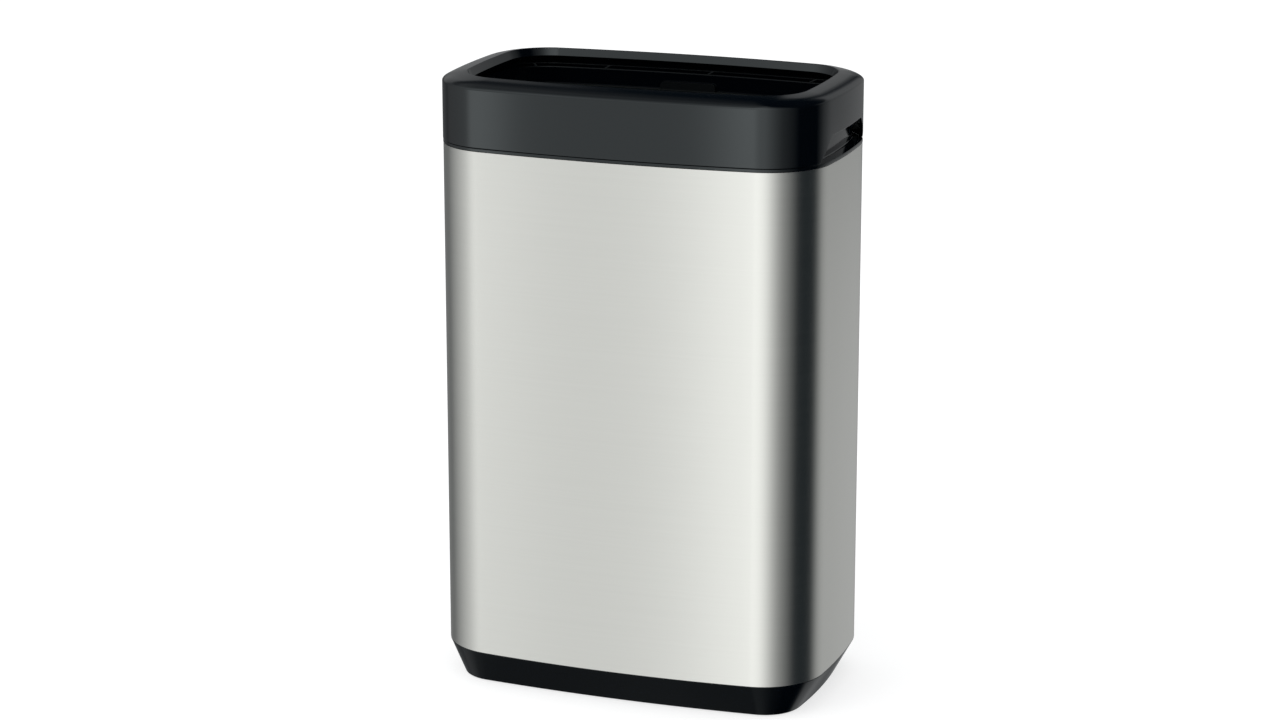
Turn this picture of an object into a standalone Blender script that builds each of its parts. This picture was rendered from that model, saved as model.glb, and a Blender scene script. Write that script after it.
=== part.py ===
"""Washroom waste bin of about 50 litres: a bowed steel sleeve on a tapered moulded base, with a
fixed collar, a bag ring and a lift-off top frame that has a hand grip on each side.

Metres, +Z up. The origin is on the floor under the middle, +X runs along the width and the
front faces -Y. Every ring shape is swept round one bowed outline with round corners.
"""
import math

import bmesh
import bpy
from mathutils import Matrix, Vector

# Outer outline of the steel sleeve, which every other outline follows
BODY_WIDTH = 0.390
BODY_DEPTH = 0.233
FRONT_BOW = 0.0150
SIDE_BOW = 0.0100
CORNER_RADIUS = 0.0630

# Heights, from the floor upwards
BASE_HEIGHT = 0.0335
SLEEVE_HEIGHT = 0.5020
COLLAR_LIP = 0.0030
FRAME_HEIGHT = 0.0644

# Clearances
CLEARANCE = 0.0003
SLIDE_CLEARANCE = 0.0005
OVERRUN = 0.0100
WELD = 0.0004

# Steel sleeve: one sheet with a lapped seam at the back and eight tabs bent inwards
SHEET = 0.0008
LAP_WIDTH = 0.0160
SEAM_WIDTH = 0.0006
SEAM_DEPTH = 0.0003
TAB_SPACING = 0.2100
TAB_WIDTH = 0.0240
TAB_BEYOND_SCREW = 0.0080
TAB_DROP = 0.0014
TAB_SCREW_INSET = 0.0067

# Moulded base tray
BASE_TAPER_X = 0.0176
BASE_TAPER_Y = 0.0140
BASE_FRONT_BOW = 0.0098
BASE_SIDE_BOW = 0.0096
BASE_CORNER_RADIUS = 0.0370
BASE_WALL = 0.0028
BASE_EDGE_ROUND = 0.0008
TRAY_FLOOR = 0.0025
TRAY_FLOOR_HEIGHT = 0.0200
UPSTAND_WALL = 0.0022
UPSTAND_HEIGHT = 0.0220
LONG_RIBS = 3
CROSS_RIBS = 7
BASE_RIB = 0.0022
BASE_RIB_RECESS = 0.0020
BASE_RIB_PITCH_X = 0.0440
BASE_RIB_PITCH_Y = 0.0480
SCREW_BOSS_RADIUS = 0.0050
SCREW_BOSS_SETBACK = 0.0015

# Rubber feet
FOOT_PROUD = 0.0007
FOOT_RADIUS = 0.0100
FOOT_PAD = 0.0034
FOOT_EDGE = 0.0006
FOOT_STEM_RADIUS = 0.0037
FOOT_STEM = 0.0070
FOOT_BOSS_RADIUS = 0.0120
FOOT_FROM_SIDE = 0.0314
FOOT_FROM_FRONT = 0.0325

# Fixed collar on the sleeve's top edge
COLLAR_PROUD = 0.0002
COLLAR_EDGE = 0.0006
COLLAR_SKIRT = 0.0280
COLLAR_WALL = 0.0022
COLLAR_LEAD = 0.0008
GUIDE_INSET = 0.0104
GUIDE_WALL = 0.0024
GUIDE_HEIGHT = 0.0440
GUIDE_ROUND = 0.0006
SHELF_INSET = 0.0196
SHELF_TURN_DOWN = 0.0100
GUSSET = 0.0020
GUSSET_HEIGHT = 0.0080
GUSSET_EVERY = 4

# Bag ring, which stands on the collar's shelf
RING_INSET = 0.0143
RING_WALL = 0.0024
RING_HEIGHT = 0.0275
RING_BEAD = 0.0010
RING_BEAD_HEIGHT = 0.0030
RING_TAB_WIDTH = 0.0570
RING_TAB_RISE = 0.0075

# Lift-off top frame
FRAME_PROUD = 0.0004
FRAME_WALL = 0.0026
FRAME_EDGE = 0.0004
RIM_INSET_X = 0.0245
RIM_INSET_Y = 0.0215
RIM_FRONT_BOW = 0.0115
RIM_SIDE_BOW = 0.0060
RIM_CORNER_RADIUS = 0.0430
RIM_DROP = 0.0106
RIM_FILLET_FRONT = 0.0070
RIM_FILLET_SIDE = 0.0062
RIM_CREST_ROUND = 0.0010
RIM_LIP = 0.0080
RIM_LIP_DRAFT = 0.0016
RIM_LIP_WALL = 0.0022
RIM_TOP_WALL = 0.0024
FRAME_RIB = 0.0018
FRAME_RIB_EVERY = 5
FRAME_RIB_TOP = 0.0440

# Hand grips in the lower edge of the top frame's two sides
GRIP_LENGTH = 0.1400
GRIP_TOP_LENGTH = 0.0960
GRIP_HEIGHT = 0.0232
GRIP_CORNER = 0.0050
GRIP_CUT_REACH = 0.0140
GRIP_FLANGE = 0.0060
GRIP_FLANGE_WALL = 0.0020

# Screws and clip nuts
SCREW_RADIUS = 0.0019
SCREW_HOLE_RADIUS = 0.0023
SCREW_HEAD_RADIUS = 0.0031
SCREW_HEAD = 0.0022
SCREW_LENGTH = 0.0110
SCREW_TIP = 0.0012
CLIP_WIDTH = 0.0110
CLIP_SHEET = 0.0005
CLIP_REACH = 0.0105

# Counts of points along the outline's arcs and round pieces
FRONT_STEPS = 5
CORNER_STEPS = 10
SIDE_STEPS = 4
FILLET_STEPS = 4
GRIP_STEPS = 4
CREST_STEPS = 2
ROUND_SIDES = 16
SCREW_SIDES = 10
SMOOTH_ANGLE = math.radians(35)
FLAT_ANGLE = math.radians(0.01)

# Levels that follow from the heights
SLEEVE_Z = BASE_HEIGHT + CLEARANCE
SLEEVE_TOP = SLEEVE_Z + SLEEVE_HEIGHT
COLLAR_Z = SLEEVE_TOP + CLEARANCE
SHELF_Z = COLLAR_Z + COLLAR_LIP
FRAME_Z = SHELF_Z + CLEARANCE
CREST_Z = FRAME_Z + FRAME_HEIGHT
SKIRT_INSET = SHEET + CLEARANCE
TAPER_AT_FLOOR = BASE_TAPER_Y * (BASE_HEIGHT - TRAY_FLOOR_HEIGHT) / (BASE_HEIGHT - FOOT_PROUD)
BASE_TAB_SCREW_INSET = TAPER_AT_FLOOR + SCREW_BOSS_SETBACK + SCREW_BOSS_RADIUS
RIB_LOW = FOOT_PROUD + BASE_RIB_RECESS
RIB_TALL = TRAY_FLOOR_HEIGHT + OVERRUN
RIB_MIDDLE = RIB_LOW + RIB_TALL / 2


# Outlines

def circle_crossing(first, first_radius, second, second_radius):
    """The lower of the two points where two circles cross."""
    apart = second - first
    distance = apart.length
    along = (first_radius ** 2 - second_radius ** 2 + distance ** 2) / (2 * distance)
    across = math.sqrt(first_radius ** 2 - along ** 2)
    foot = first + apart * (along / distance)
    side = Vector((-apart.y, apart.x)) * (across / distance)
    return min(foot + side, foot - side, key=lambda point: point.y)


def direction_angle(vector):
    """The angle of a direction, from +X."""
    return math.atan2(vector.y, vector.x)


def arc(centre, radius, start, end, steps):
    """Points on an arc with the directions that point away from its centre."""
    points = []
    for step in range(steps + 1):
        angle = start + (end - start) * step / steps
        direction = Vector((math.cos(angle), math.sin(angle)))
        points.append((centre + direction * radius, direction))
    return points


def bow_radius(half_length, bow):
    """The radius of an arc that rises by bow over twice half_length."""
    return (half_length ** 2 + bow ** 2) / (2 * bow)


def bowed_outline(half_width, half_depth, front_bow, side_bow, corner_radius):
    """Points and outward directions round a rectangle with bowed sides and round corners."""
    front_radius = bow_radius(half_width, front_bow)
    side_radius = bow_radius(half_depth, side_bow)
    front_centre = Vector((0, front_radius - half_depth))
    side_centre = Vector((half_width - side_radius, 0))
    corner = circle_crossing(front_centre, front_radius - corner_radius,
                             side_centre, side_radius - corner_radius)
    leave_front = direction_angle(corner - front_centre)
    reach_side = direction_angle(corner - side_centre)
    quarter = arc(front_centre, front_radius, -math.pi / 2, leave_front, FRONT_STEPS)
    quarter += arc(corner, corner_radius, leave_front, reach_side, CORNER_STEPS)[1:]
    quarter += arc(side_centre, side_radius, reach_side, 0, SIDE_STEPS)[1:]
    half = quarter + [flipped(place, 1, -1) for place in reversed(quarter[:-1])]
    return half + [flipped(place, -1, 1) for place in reversed(half[1:-1])]


def flipped(place, x_sign, y_sign):
    """A point of an outline and its direction, mirrored."""
    return tuple(Vector((vector.x * x_sign, vector.y * y_sign)) for vector in place)


def inset(outline, distance):
    """The outline's points, moved inwards."""
    return [point - direction * distance for point, direction in outline]


def between(first, second, share):
    """Points on the way from one row of points to another."""
    return [a.lerp(b, share) for a, b in zip(first, second)]


def level(points, height):
    """A row of points at one height."""
    return [Vector((point.x, point.y, height)) for point in points]


BODY = bowed_outline(BODY_WIDTH / 2, BODY_DEPTH / 2, FRONT_BOW, SIDE_BOW, CORNER_RADIUS)
BASE = bowed_outline(BODY_WIDTH / 2 - BASE_TAPER_X, BODY_DEPTH / 2 - BASE_TAPER_Y,
                     BASE_FRONT_BOW, BASE_SIDE_BOW, BASE_CORNER_RADIUS)
RIM = bowed_outline(BODY_WIDTH / 2 - RIM_INSET_X, BODY_DEPTH / 2 - RIM_INSET_Y,
                    RIM_FRONT_BOW, RIM_SIDE_BOW, RIM_CORNER_RADIUS)


def front_place(across, depth_sign):
    """The point and outward direction on the sleeve's front or back at a distance from its middle."""
    radius = bow_radius(BODY_WIDTH / 2, FRONT_BOW)
    height = math.sqrt(radius ** 2 - across ** 2)
    centre_y = BODY_DEPTH / 2 - radius
    point = Vector((across, depth_sign * (centre_y + height)))
    return point, Vector((across, depth_sign * height)) / radius


def tab_places():
    """The four places along the front and back where tabs, bosses and screws sit."""
    return [front_place(x_sign * TAB_SPACING / 2, y_sign) for y_sign in (-1, 1) for x_sign in (-1, 1)]


# Mesh helpers

def finish(name, bm, material=None, smooth=True):
    """An object from a mesh whose twisted faces are split and whose faces are turned outwards."""
    quads = [face for face in bm.faces if len(face.verts) == 4]
    bmesh.ops.connect_verts_nonplanar(bm, angle_limit=FLAT_ANGLE, faces=quads)
    bmesh.ops.recalc_face_normals(bm, faces=bm.faces)
    mesh = bpy.data.meshes.new(name)
    bm.to_mesh(mesh)
    bm.free()
    if smooth:
        mesh.shade_smooth()
        mesh.set_sharp_from_angle(angle=SMOOTH_ANGLE)
    made = bpy.data.objects.new(name, mesh)
    bpy.context.scene.collection.objects.link(made)
    if material:
        mesh.materials.append(material)
    return made


def guide(name, bm):
    """An object that only shapes others."""
    made = finish(name, bm, smooth=False)
    made.hide_render = True
    made.display_type = "WIRE"
    return made


def lift_axis(piece, height):
    """An empty on the upright line along which a loose piece is lifted, which carries that piece."""
    axis = bpy.data.objects.new(piece.name + "_axis", None)
    axis.location = (0, 0, height)
    bpy.context.scene.collection.objects.link(axis)
    piece.parent = axis
    piece.matrix_parent_inverse = Matrix.Translation((0, 0, -height))


def boolean(target, other, operation):
    """Joins a guide to a piece or cuts it away."""
    modifier = target.modifiers.new(other.name, "BOOLEAN")
    modifier.operation = operation
    modifier.solver = "EXACT"
    modifier.object = other


def skin(bm, rings, closed):
    """Faces between rows of points; a closed section joins its last row to its first."""
    rows = [[bm.verts.new(point) for point in ring] for ring in rings]
    pairs = list(zip(rows, rows[1:]))
    if closed:
        pairs.append((rows[-1], rows[0]))
    for lower, upper in pairs:
        count = len(lower)
        for index in range(count):
            after = (index + 1) % count
            bm.faces.new((lower[index], lower[after], upper[after], upper[index]))
    if not closed:
        bm.faces.new(rows[0])
        bm.faces.new(rows[-1])


def add_box(bm, size, matrix):
    """A box about its own middle, then placed."""
    bmesh.ops.create_cube(bm, size=1, matrix=matrix @ Matrix.Diagonal((*size, 1)))


def add_cylinder(bm, radius, low, high, place, sides=ROUND_SIDES):
    """An upright cylinder between two heights."""
    middle = Matrix.Translation((place.x, place.y, (low + high) / 2))
    bmesh.ops.create_cone(bm, cap_ends=True, segments=sides, radius1=radius, radius2=radius,
                          depth=high - low, matrix=middle)


def add_screw_hole(bm, low, high, place):
    """The space of a screw hole between two heights."""
    add_cylinder(bm, SCREW_HOLE_RADIUS, low, high, place, sides=SCREW_SIDES)


def add_turned(bm, profile, place, base, sides):
    """A round piece from radius and height pairs that start and end on the axis."""
    rows = []
    for radius, height in profile:
        ring = [Vector((place.x + radius * math.cos(math.tau * side / sides),
                        place.y + radius * math.sin(math.tau * side / sides),
                        base + height)) for side in range(sides)]
        rows.append(ring)
    skin(bm, rows, closed=False)


def radial_matrix(place, direction, distance, height):
    """A frame at a place on the outline whose X runs inwards and Y along the wall."""
    inwards = -direction
    centre = place + inwards * distance
    turn = Matrix.Rotation(direction_angle(inwards), 4, "Z")
    return Matrix.Translation((centre.x, centre.y, height)) @ turn


def add_radial_box(bm, place, start, end, width, low, high):
    """A box that runs inwards from the outline between two insets and two heights."""
    point, direction = place
    matrix = radial_matrix(point, direction, (start + end) / 2, (low + high) / 2)
    add_box(bm, (end - start, width, high - low), matrix)


def back_place():
    """The middle of the back, where the sheet laps."""
    return front_place(0, 1)


# Materials

def finish_material(name, colour, roughness, metallic):
    """A plain finish for the solids."""
    made = bpy.data.materials.new(name)
    made.use_nodes = True
    shader = made.node_tree.nodes["Principled BSDF"]
    shader.inputs["Base Color"].default_value = (*colour, 1)
    shader.inputs["Roughness"].default_value = roughness
    shader.inputs["Metallic"].default_value = metallic
    return made


def materials():
    """The finishes by the piece's kind."""
    return {
        "steel": finish_material("brushed_steel", (0.58, 0.58, 0.56), 0.32, 1),
        "gloss": finish_material("gloss_black_plastic", (0.012, 0.012, 0.013), 0.18, 0),
        "matt": finish_material("matt_black_plastic", (0.020, 0.020, 0.021), 0.45, 0),
        "rubber": finish_material("black_rubber", (0.030, 0.030, 0.030), 0.80, 0),
        "zinc": finish_material("zinc_plate", (0.60, 0.60, 0.62), 0.35, 1),
    }


# Steel sleeve

def sleeve_tabs():
    """Tabs bent inwards at the sleeve's two ends, and the inner layer of the lapped seam."""
    bm = bmesh.new()
    for place in tab_places():
        top = SLEEVE_TOP - TAB_DROP
        add_radial_box(bm, place, SHEET - WELD, TAB_SCREW_INSET + TAB_BEYOND_SCREW, TAB_WIDTH,
                       top - SHEET, top)
        add_radial_box(bm, place, SHEET - WELD, BASE_TAB_SCREW_INSET + TAB_BEYOND_SCREW, TAB_WIDTH,
                       SLEEVE_Z, SLEEVE_Z + SHEET)
    add_radial_box(bm, back_place(), SHEET - WELD, SHEET + SHEET, LAP_WIDTH,
                   SLEEVE_Z + SHEET, SLEEVE_TOP - SHEET)
    return guide("sleeve_tabs", bm)


def sleeve_cuts():
    """Screw holes in the tabs and the fine line where the outer layer of the seam ends."""
    bm = bmesh.new()
    for point, direction in tab_places():
        upper = point - direction * TAB_SCREW_INSET
        lower = point - direction * BASE_TAB_SCREW_INSET
        top = SLEEVE_TOP - TAB_DROP
        add_screw_hole(bm, top - OVERRUN, top + WELD, upper)
        add_screw_hole(bm, SLEEVE_Z - WELD, SLEEVE_Z + OVERRUN, lower)
    point, direction = back_place()
    seam = Matrix.Translation((point.x + LAP_WIDTH / 2, point.y, (SLEEVE_Z + SLEEVE_TOP) / 2))
    add_box(bm, (SEAM_WIDTH, SEAM_DEPTH + SEAM_DEPTH, SLEEVE_HEIGHT + OVERRUN), seam)
    return guide("sleeve_cuts", bm)


def make_sleeve(material):
    """The bowed sheet between the base's ledge and the collar's lip."""
    outer = inset(BODY, 0)
    inner = inset(BODY, SHEET)
    bm = bmesh.new()
    skin(bm, [level(outer, SLEEVE_Z), level(outer, SLEEVE_TOP),
              level(inner, SLEEVE_TOP), level(inner, SLEEVE_Z)], closed=True)
    sleeve = finish("body_sleeve", bm, material)
    boolean(sleeve, sleeve_tabs(), "UNION")
    boolean(sleeve, sleeve_cuts(), "DIFFERENCE")


# Base tray

def base_row(depth_inside, height):
    """Points on the tapered skirt at a height, moved inwards."""
    share = (height - FOOT_PROUD) / (BASE_HEIGHT - FOOT_PROUD)
    return level(between(inset(BASE, depth_inside), inset(BODY, depth_inside), share), height)


def tray_rows():
    """Rows from the underside of the blank, over the skirt, ledge and upstand, to the tray's floor."""
    low = FOOT_PROUD
    upstand_top = BASE_HEIGHT + UPSTAND_HEIGHT
    inner = SKIRT_INSET + UPSTAND_WALL
    floor = TRAY_FLOOR_HEIGHT
    return [
        base_row(BASE_WALL + BASE_WALL, low),
        base_row(BASE_EDGE_ROUND, low),
        base_row(0, low + BASE_EDGE_ROUND),
        level(inset(BODY, 0), BASE_HEIGHT),
        level(inset(BODY, SKIRT_INSET), BASE_HEIGHT),
        level(inset(BODY, SKIRT_INSET), upstand_top - UPSTAND_WALL / 2),
        level(inset(BODY, SKIRT_INSET + UPSTAND_WALL / 2), upstand_top),
        level(inset(BODY, inner), upstand_top),
        level(inset(BODY, inner), BASE_HEIGHT),
        base_row(BASE_WALL, floor + BASE_WALL),
        base_row(BASE_WALL + BASE_WALL, floor),
    ]


def rib_places(count, pitch):
    """Evenly pitched places about the middle."""
    return [pitch * (index - (count - 1) / 2) for index in range(count)]


def foot_places():
    """The middles of the four feet, by name."""
    x = BODY_WIDTH / 2 - BASE_TAPER_X - FOOT_FROM_SIDE
    y = BODY_DEPTH / 2 - BASE_TAPER_Y - FOOT_FROM_FRONT
    return {
        "front_left": Vector((-x, -y)),
        "front_right": Vector((x, -y)),
        "back_left": Vector((-x, y)),
        "back_right": Vector((x, y)),
    }


def base_cross_ribs():
    """The ribs that run from front to back."""
    bm = bmesh.new()
    for x in rib_places(CROSS_RIBS, BASE_RIB_PITCH_X):
        add_box(bm, (BASE_RIB, BODY_DEPTH, RIB_TALL), Matrix.Translation((x, 0, RIB_MIDDLE)))
    return guide("base_cross_ribs", bm)


def base_long_ribs():
    """The ribs that run along the width."""
    bm = bmesh.new()
    for y in rib_places(LONG_RIBS, BASE_RIB_PITCH_Y):
        add_box(bm, (BODY_WIDTH, BASE_RIB, RIB_TALL), Matrix.Translation((0, y, RIB_MIDDLE)))
    return guide("base_long_ribs", bm)


def foot_bosses():
    """Round columns that carry the feet."""
    bm = bmesh.new()
    for place in foot_places().values():
        add_cylinder(bm, FOOT_BOSS_RADIUS, RIB_LOW, RIB_LOW + RIB_TALL, place)
    return guide("foot_bosses", bm)


def foot_sockets():
    """Seats for the pads and holes for their stems."""
    bm = bmesh.new()
    pad_top = FOOT_PAD + CLEARANCE
    stem_top = FOOT_PAD + FOOT_STEM + CLEARANCE
    for place in foot_places().values():
        add_turned(bm, [(FOOT_RADIUS + CLEARANCE, -OVERRUN), (FOOT_RADIUS + CLEARANCE, pad_top),
                        (FOOT_STEM_RADIUS + CLEARANCE, pad_top), (FOOT_STEM_RADIUS + CLEARANCE, stem_top)],
                   place, 0, ROUND_SIDES)
    return guide("foot_sockets", bm)


def base_pockets():
    """The hollow under the tray's floor, less its ribs and bosses, and the sockets in the bosses."""
    ceiling = TRAY_FLOOR_HEIGHT - TRAY_FLOOR
    bm = bmesh.new()
    skin(bm, [base_row(BASE_WALL, -FOOT_PROUD), base_row(BASE_WALL, ceiling)], closed=False)
    pockets = guide("base_pockets", bm)
    for standing in (base_cross_ribs(), base_long_ribs(), foot_bosses()):
        boolean(pockets, standing, "DIFFERENCE")
    boolean(pockets, foot_sockets(), "UNION")
    return pockets


def base_screw_bosses():
    """Columns in the tray that the sleeve's lower tabs are screwed to."""
    bm = bmesh.new()
    for point, direction in tab_places():
        place = point - direction * BASE_TAB_SCREW_INSET
        add_cylinder(bm, SCREW_BOSS_RADIUS, TRAY_FLOOR_HEIGHT - TRAY_FLOOR / 2, BASE_HEIGHT, place)
    return guide("base_screw_bosses", bm)


def base_cuts():
    """Notches in the upstand for tabs and seam, and screw holes."""
    bm = bmesh.new()
    low = BASE_HEIGHT - WELD
    notch_top = BASE_HEIGHT + UPSTAND_HEIGHT + OVERRUN
    inner = SKIRT_INSET + UPSTAND_WALL + WELD
    for point, direction in tab_places():
        add_radial_box(bm, (point, direction), SHEET / 2, inner, TAB_WIDTH + SLIDE_CLEARANCE * 2,
                       low, notch_top)
        add_screw_hole(bm, BASE_HEIGHT - SCREW_LENGTH, BASE_HEIGHT + WELD,
                       point - direction * BASE_TAB_SCREW_INSET)
    add_radial_box(bm, back_place(), SHEET / 2, inner, LAP_WIDTH + SLIDE_CLEARANCE * 2,
                   low, notch_top)
    return guide("base_cuts", bm)


def make_base(material):
    """The tapered tray that the sleeve stands on."""
    bm = bmesh.new()
    skin(bm, tray_rows(), closed=False)
    tray = finish("base_tray", bm, material)
    boolean(tray, base_screw_bosses(), "UNION")
    boolean(tray, base_cuts(), "DIFFERENCE")
    boolean(tray, base_pockets(), "DIFFERENCE")


def make_feet(material):
    """Rubber pads with a stem that pushes up into the boss."""
    profile = [(FOOT_RADIUS - FOOT_EDGE, 0), (FOOT_RADIUS, FOOT_EDGE), (FOOT_RADIUS, FOOT_PAD),
               (FOOT_STEM_RADIUS, FOOT_PAD), (FOOT_STEM_RADIUS, FOOT_PAD + FOOT_STEM)]
    for name, place in foot_places().items():
        bm = bmesh.new()
        add_turned(bm, profile, place, 0, ROUND_SIDES)
        finish("foot_" + name, bm, material)


# Collar

def collar_rows():
    """The collar's section: lip, skirt inside the sleeve, shelf and the wall that guides the frame."""
    skirt_low = COLLAR_Z - COLLAR_SKIRT
    guide_top = SHELF_Z + GUIDE_HEIGHT
    guide_inner = GUIDE_INSET + GUIDE_WALL
    section = [
        (SKIRT_INSET + COLLAR_LEAD, skirt_low),
        (SKIRT_INSET, skirt_low + COLLAR_SKIRT / 2),
        (SKIRT_INSET, COLLAR_Z),
        (-COLLAR_PROUD, COLLAR_Z),
        (-COLLAR_PROUD, SHELF_Z - COLLAR_EDGE),
        (COLLAR_EDGE - COLLAR_PROUD, SHELF_Z),
        (GUIDE_INSET, SHELF_Z),
        (GUIDE_INSET, guide_top - GUIDE_ROUND),
        (GUIDE_INSET + GUIDE_ROUND, guide_top),
        (guide_inner - GUIDE_ROUND, guide_top),
        (guide_inner, guide_top - GUIDE_ROUND),
        (guide_inner, SHELF_Z),
        (SHELF_INSET, SHELF_Z),
        (SHELF_INSET, COLLAR_Z - SHELF_TURN_DOWN),
        (SHELF_INSET - COLLAR_WALL, COLLAR_Z - SHELF_TURN_DOWN),
        (SHELF_INSET - COLLAR_WALL, COLLAR_Z),
        (SKIRT_INSET + COLLAR_WALL, COLLAR_Z),
        (SKIRT_INSET + COLLAR_WALL, skirt_low),
    ]
    return [level(inset(BODY, depth_inside), height) for depth_inside, height in section]


def clear_of_tabs(place, room):
    """True where a place on the outline is away from every tab and the lapped seam."""
    spots = [point for point, direction in tab_places()] + [back_place()[0]]
    return all((place[0] - spot).length > room for spot in spots)


def collar_gussets():
    """Small webs under the shelf between the collar's skirt and the turned-down edge."""
    bm = bmesh.new()
    for place in BODY[GUSSET_EVERY // 2::GUSSET_EVERY]:
        if clear_of_tabs(place, TAB_WIDTH):
            add_radial_box(bm, place, SKIRT_INSET + COLLAR_WALL - WELD, SHELF_INSET - COLLAR_WALL + WELD,
                           GUSSET, COLLAR_Z - GUSSET_HEIGHT, COLLAR_Z + WELD)
    return guide("collar_gussets", bm)


def collar_cuts():
    """Notches in the skirt for tabs and seam, and the screw holes through the shelf."""
    bm = bmesh.new()
    low = COLLAR_Z - COLLAR_SKIRT - OVERRUN
    inner = SKIRT_INSET + COLLAR_WALL + WELD
    for point, direction in tab_places():
        add_radial_box(bm, (point, direction), SKIRT_INSET - WELD, inner,
                       TAB_WIDTH + SLIDE_CLEARANCE * 2, low, COLLAR_Z)
        add_screw_hole(bm, COLLAR_Z - OVERRUN, SHELF_Z + OVERRUN, point - direction * TAB_SCREW_INSET)
    add_radial_box(bm, back_place(), SKIRT_INSET - WELD, inner,
                   LAP_WIDTH + SLIDE_CLEARANCE * 2, low, COLLAR_Z)
    return guide("collar_cuts", bm)


def make_collar(material):
    """The fixed ring on the sleeve's top edge."""
    bm = bmesh.new()
    skin(bm, collar_rows(), closed=True)
    collar = finish("top_collar", bm, material)
    boolean(collar, collar_gussets(), "UNION")
    boolean(collar, collar_cuts(), "DIFFERENCE")


# Bag ring

def ring_rows():
    """The bag ring's section, with a bead round its top that holds the bag."""
    low = SHELF_Z + CLEARANCE
    top = low + RING_HEIGHT
    bead_low = top - RING_BEAD_HEIGHT
    inner = RING_INSET + RING_WALL
    section = [
        (RING_INSET, low),
        (RING_INSET, bead_low),
        (RING_INSET - RING_BEAD, bead_low + RING_BEAD),
        (RING_INSET - RING_BEAD, top - RING_BEAD),
        (RING_INSET, top),
        (inner, top),
        (inner, low),
    ]
    return [level(inset(BODY, depth_inside), height) for depth_inside, height in section]


def make_ring(material):
    """The ring that the bag is folded over, with a finger tab at the back."""
    bm = bmesh.new()
    skin(bm, ring_rows(), closed=True)
    ring = finish("bag_ring", bm, material)
    top = SHELF_Z + CLEARANCE + RING_HEIGHT
    tab = bmesh.new()
    add_radial_box(tab, back_place(), RING_INSET + WELD, RING_INSET + RING_WALL - WELD, RING_TAB_WIDTH,
                   top - RING_BEAD_HEIGHT, top + RING_TAB_RISE)
    boolean(ring, guide("ring_tab", tab), "UNION")
    lift_axis(ring, SHELF_Z + CLEARANCE)


# Top frame

def front_share(direction):
    """Nought on the sides and one on the front and back, with a smooth change round the corners."""
    share = abs(direction.y)
    return share * share * (3 - 2 * share)


def blend(at_side, at_front, share):
    """A size that changes from the sides to the front."""
    return at_side + (at_front - at_side) * share


def rim_slope(width, radius):
    """How steeply the top face must fall to run from the crest into the shoulder's fillet."""
    reach = width - radius
    return math.acos(radius / math.hypot(reach, RIM_DROP)) - math.atan2(reach, RIM_DROP)


def rim_section(outer, crest, direction):
    """Points of the frame's section at one place, from the skirt's foot over the top and back."""
    across = crest - outer
    width = across.length
    along = across / width
    share = front_share(direction)
    radius = blend(RIM_FILLET_SIDE, RIM_FILLET_FRONT, share)
    slope = rim_slope(width, radius)
    section = [(FRAME_EDGE, FRAME_Z), (0, FRAME_Z + FRAME_EDGE)]
    for step in range(FILLET_STEPS + 1):
        turn = (math.pi / 2 - slope) * step / FILLET_STEPS
        section.append((radius - radius * math.cos(turn), CREST_Z - RIM_DROP + radius * math.sin(turn)))
    for step in range(CREST_STEPS + 1):
        turn = math.pi / 2 * step / CREST_STEPS
        section.append((width - RIM_CREST_ROUND + RIM_CREST_ROUND * math.sin(turn),
                        CREST_Z - RIM_CREST_ROUND + RIM_CREST_ROUND * math.cos(turn)))
    lip_low = CREST_Z - RIM_LIP
    lip = width + RIM_LIP_DRAFT
    under = CREST_Z - RIM_DROP * (1 - RIM_LIP_WALL / width) - RIM_TOP_WALL
    section += [(lip, lip_low), (lip - RIM_LIP_WALL, lip_low),
                (width - RIM_LIP_WALL, CREST_Z - RIM_TOP_WALL - RIM_CREST_ROUND),
                (FRAME_WALL, min(under, CREST_Z - RIM_DROP)), (FRAME_WALL, FRAME_Z)]
    points = []
    for distance, height in section:
        point = outer + along * distance
        points.append(Vector((point.x, point.y, height)))
    return points


def frame_sections():
    """The frame's sections all the way round."""
    outers = inset(BODY, -FRAME_PROUD)
    crests = inset(RIM, 0)
    directions = [direction for point, direction in BODY]
    return [rim_section(*parts) for parts in zip(outers, crests, directions)]


def grip_outline():
    """The hand grip's outline along the side, as a trapezium with round upper corners."""
    foot = FRAME_Z - OVERRUN
    top = FRAME_Z + GRIP_HEIGHT
    spread = (GRIP_LENGTH - GRIP_TOP_LENGTH) / 2
    slant = math.atan2(GRIP_HEIGHT, spread)
    low = GRIP_LENGTH / 2 + OVERRUN / math.tan(slant)
    setback = GRIP_CORNER * math.tan(slant / 2)
    centre = Vector((GRIP_TOP_LENGTH / 2 - setback, top - GRIP_CORNER))
    bend = arc(centre, GRIP_CORNER, math.pi / 2 - slant, math.pi / 2, GRIP_STEPS)
    corner = [point for point, direction in bend]
    right = [Vector((low, foot))] + corner
    return right + [Vector((-point.x, point.y)) for point in reversed(right)]


def grip_cutter():
    """Cuts both grips through the skirt of the frame."""
    bm = bmesh.new()
    for x_sign in (-1, 1):
        near = x_sign * (BODY_WIDTH / 2 - GRIP_CUT_REACH)
        far = x_sign * (BODY_WIDTH / 2 + OVERRUN)
        skin(bm, [[Vector((x, point.x, point.y)) for point in grip_outline()] for x in (near, far)],
             closed=False)
    return guide("grip_cutter", bm)


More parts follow.
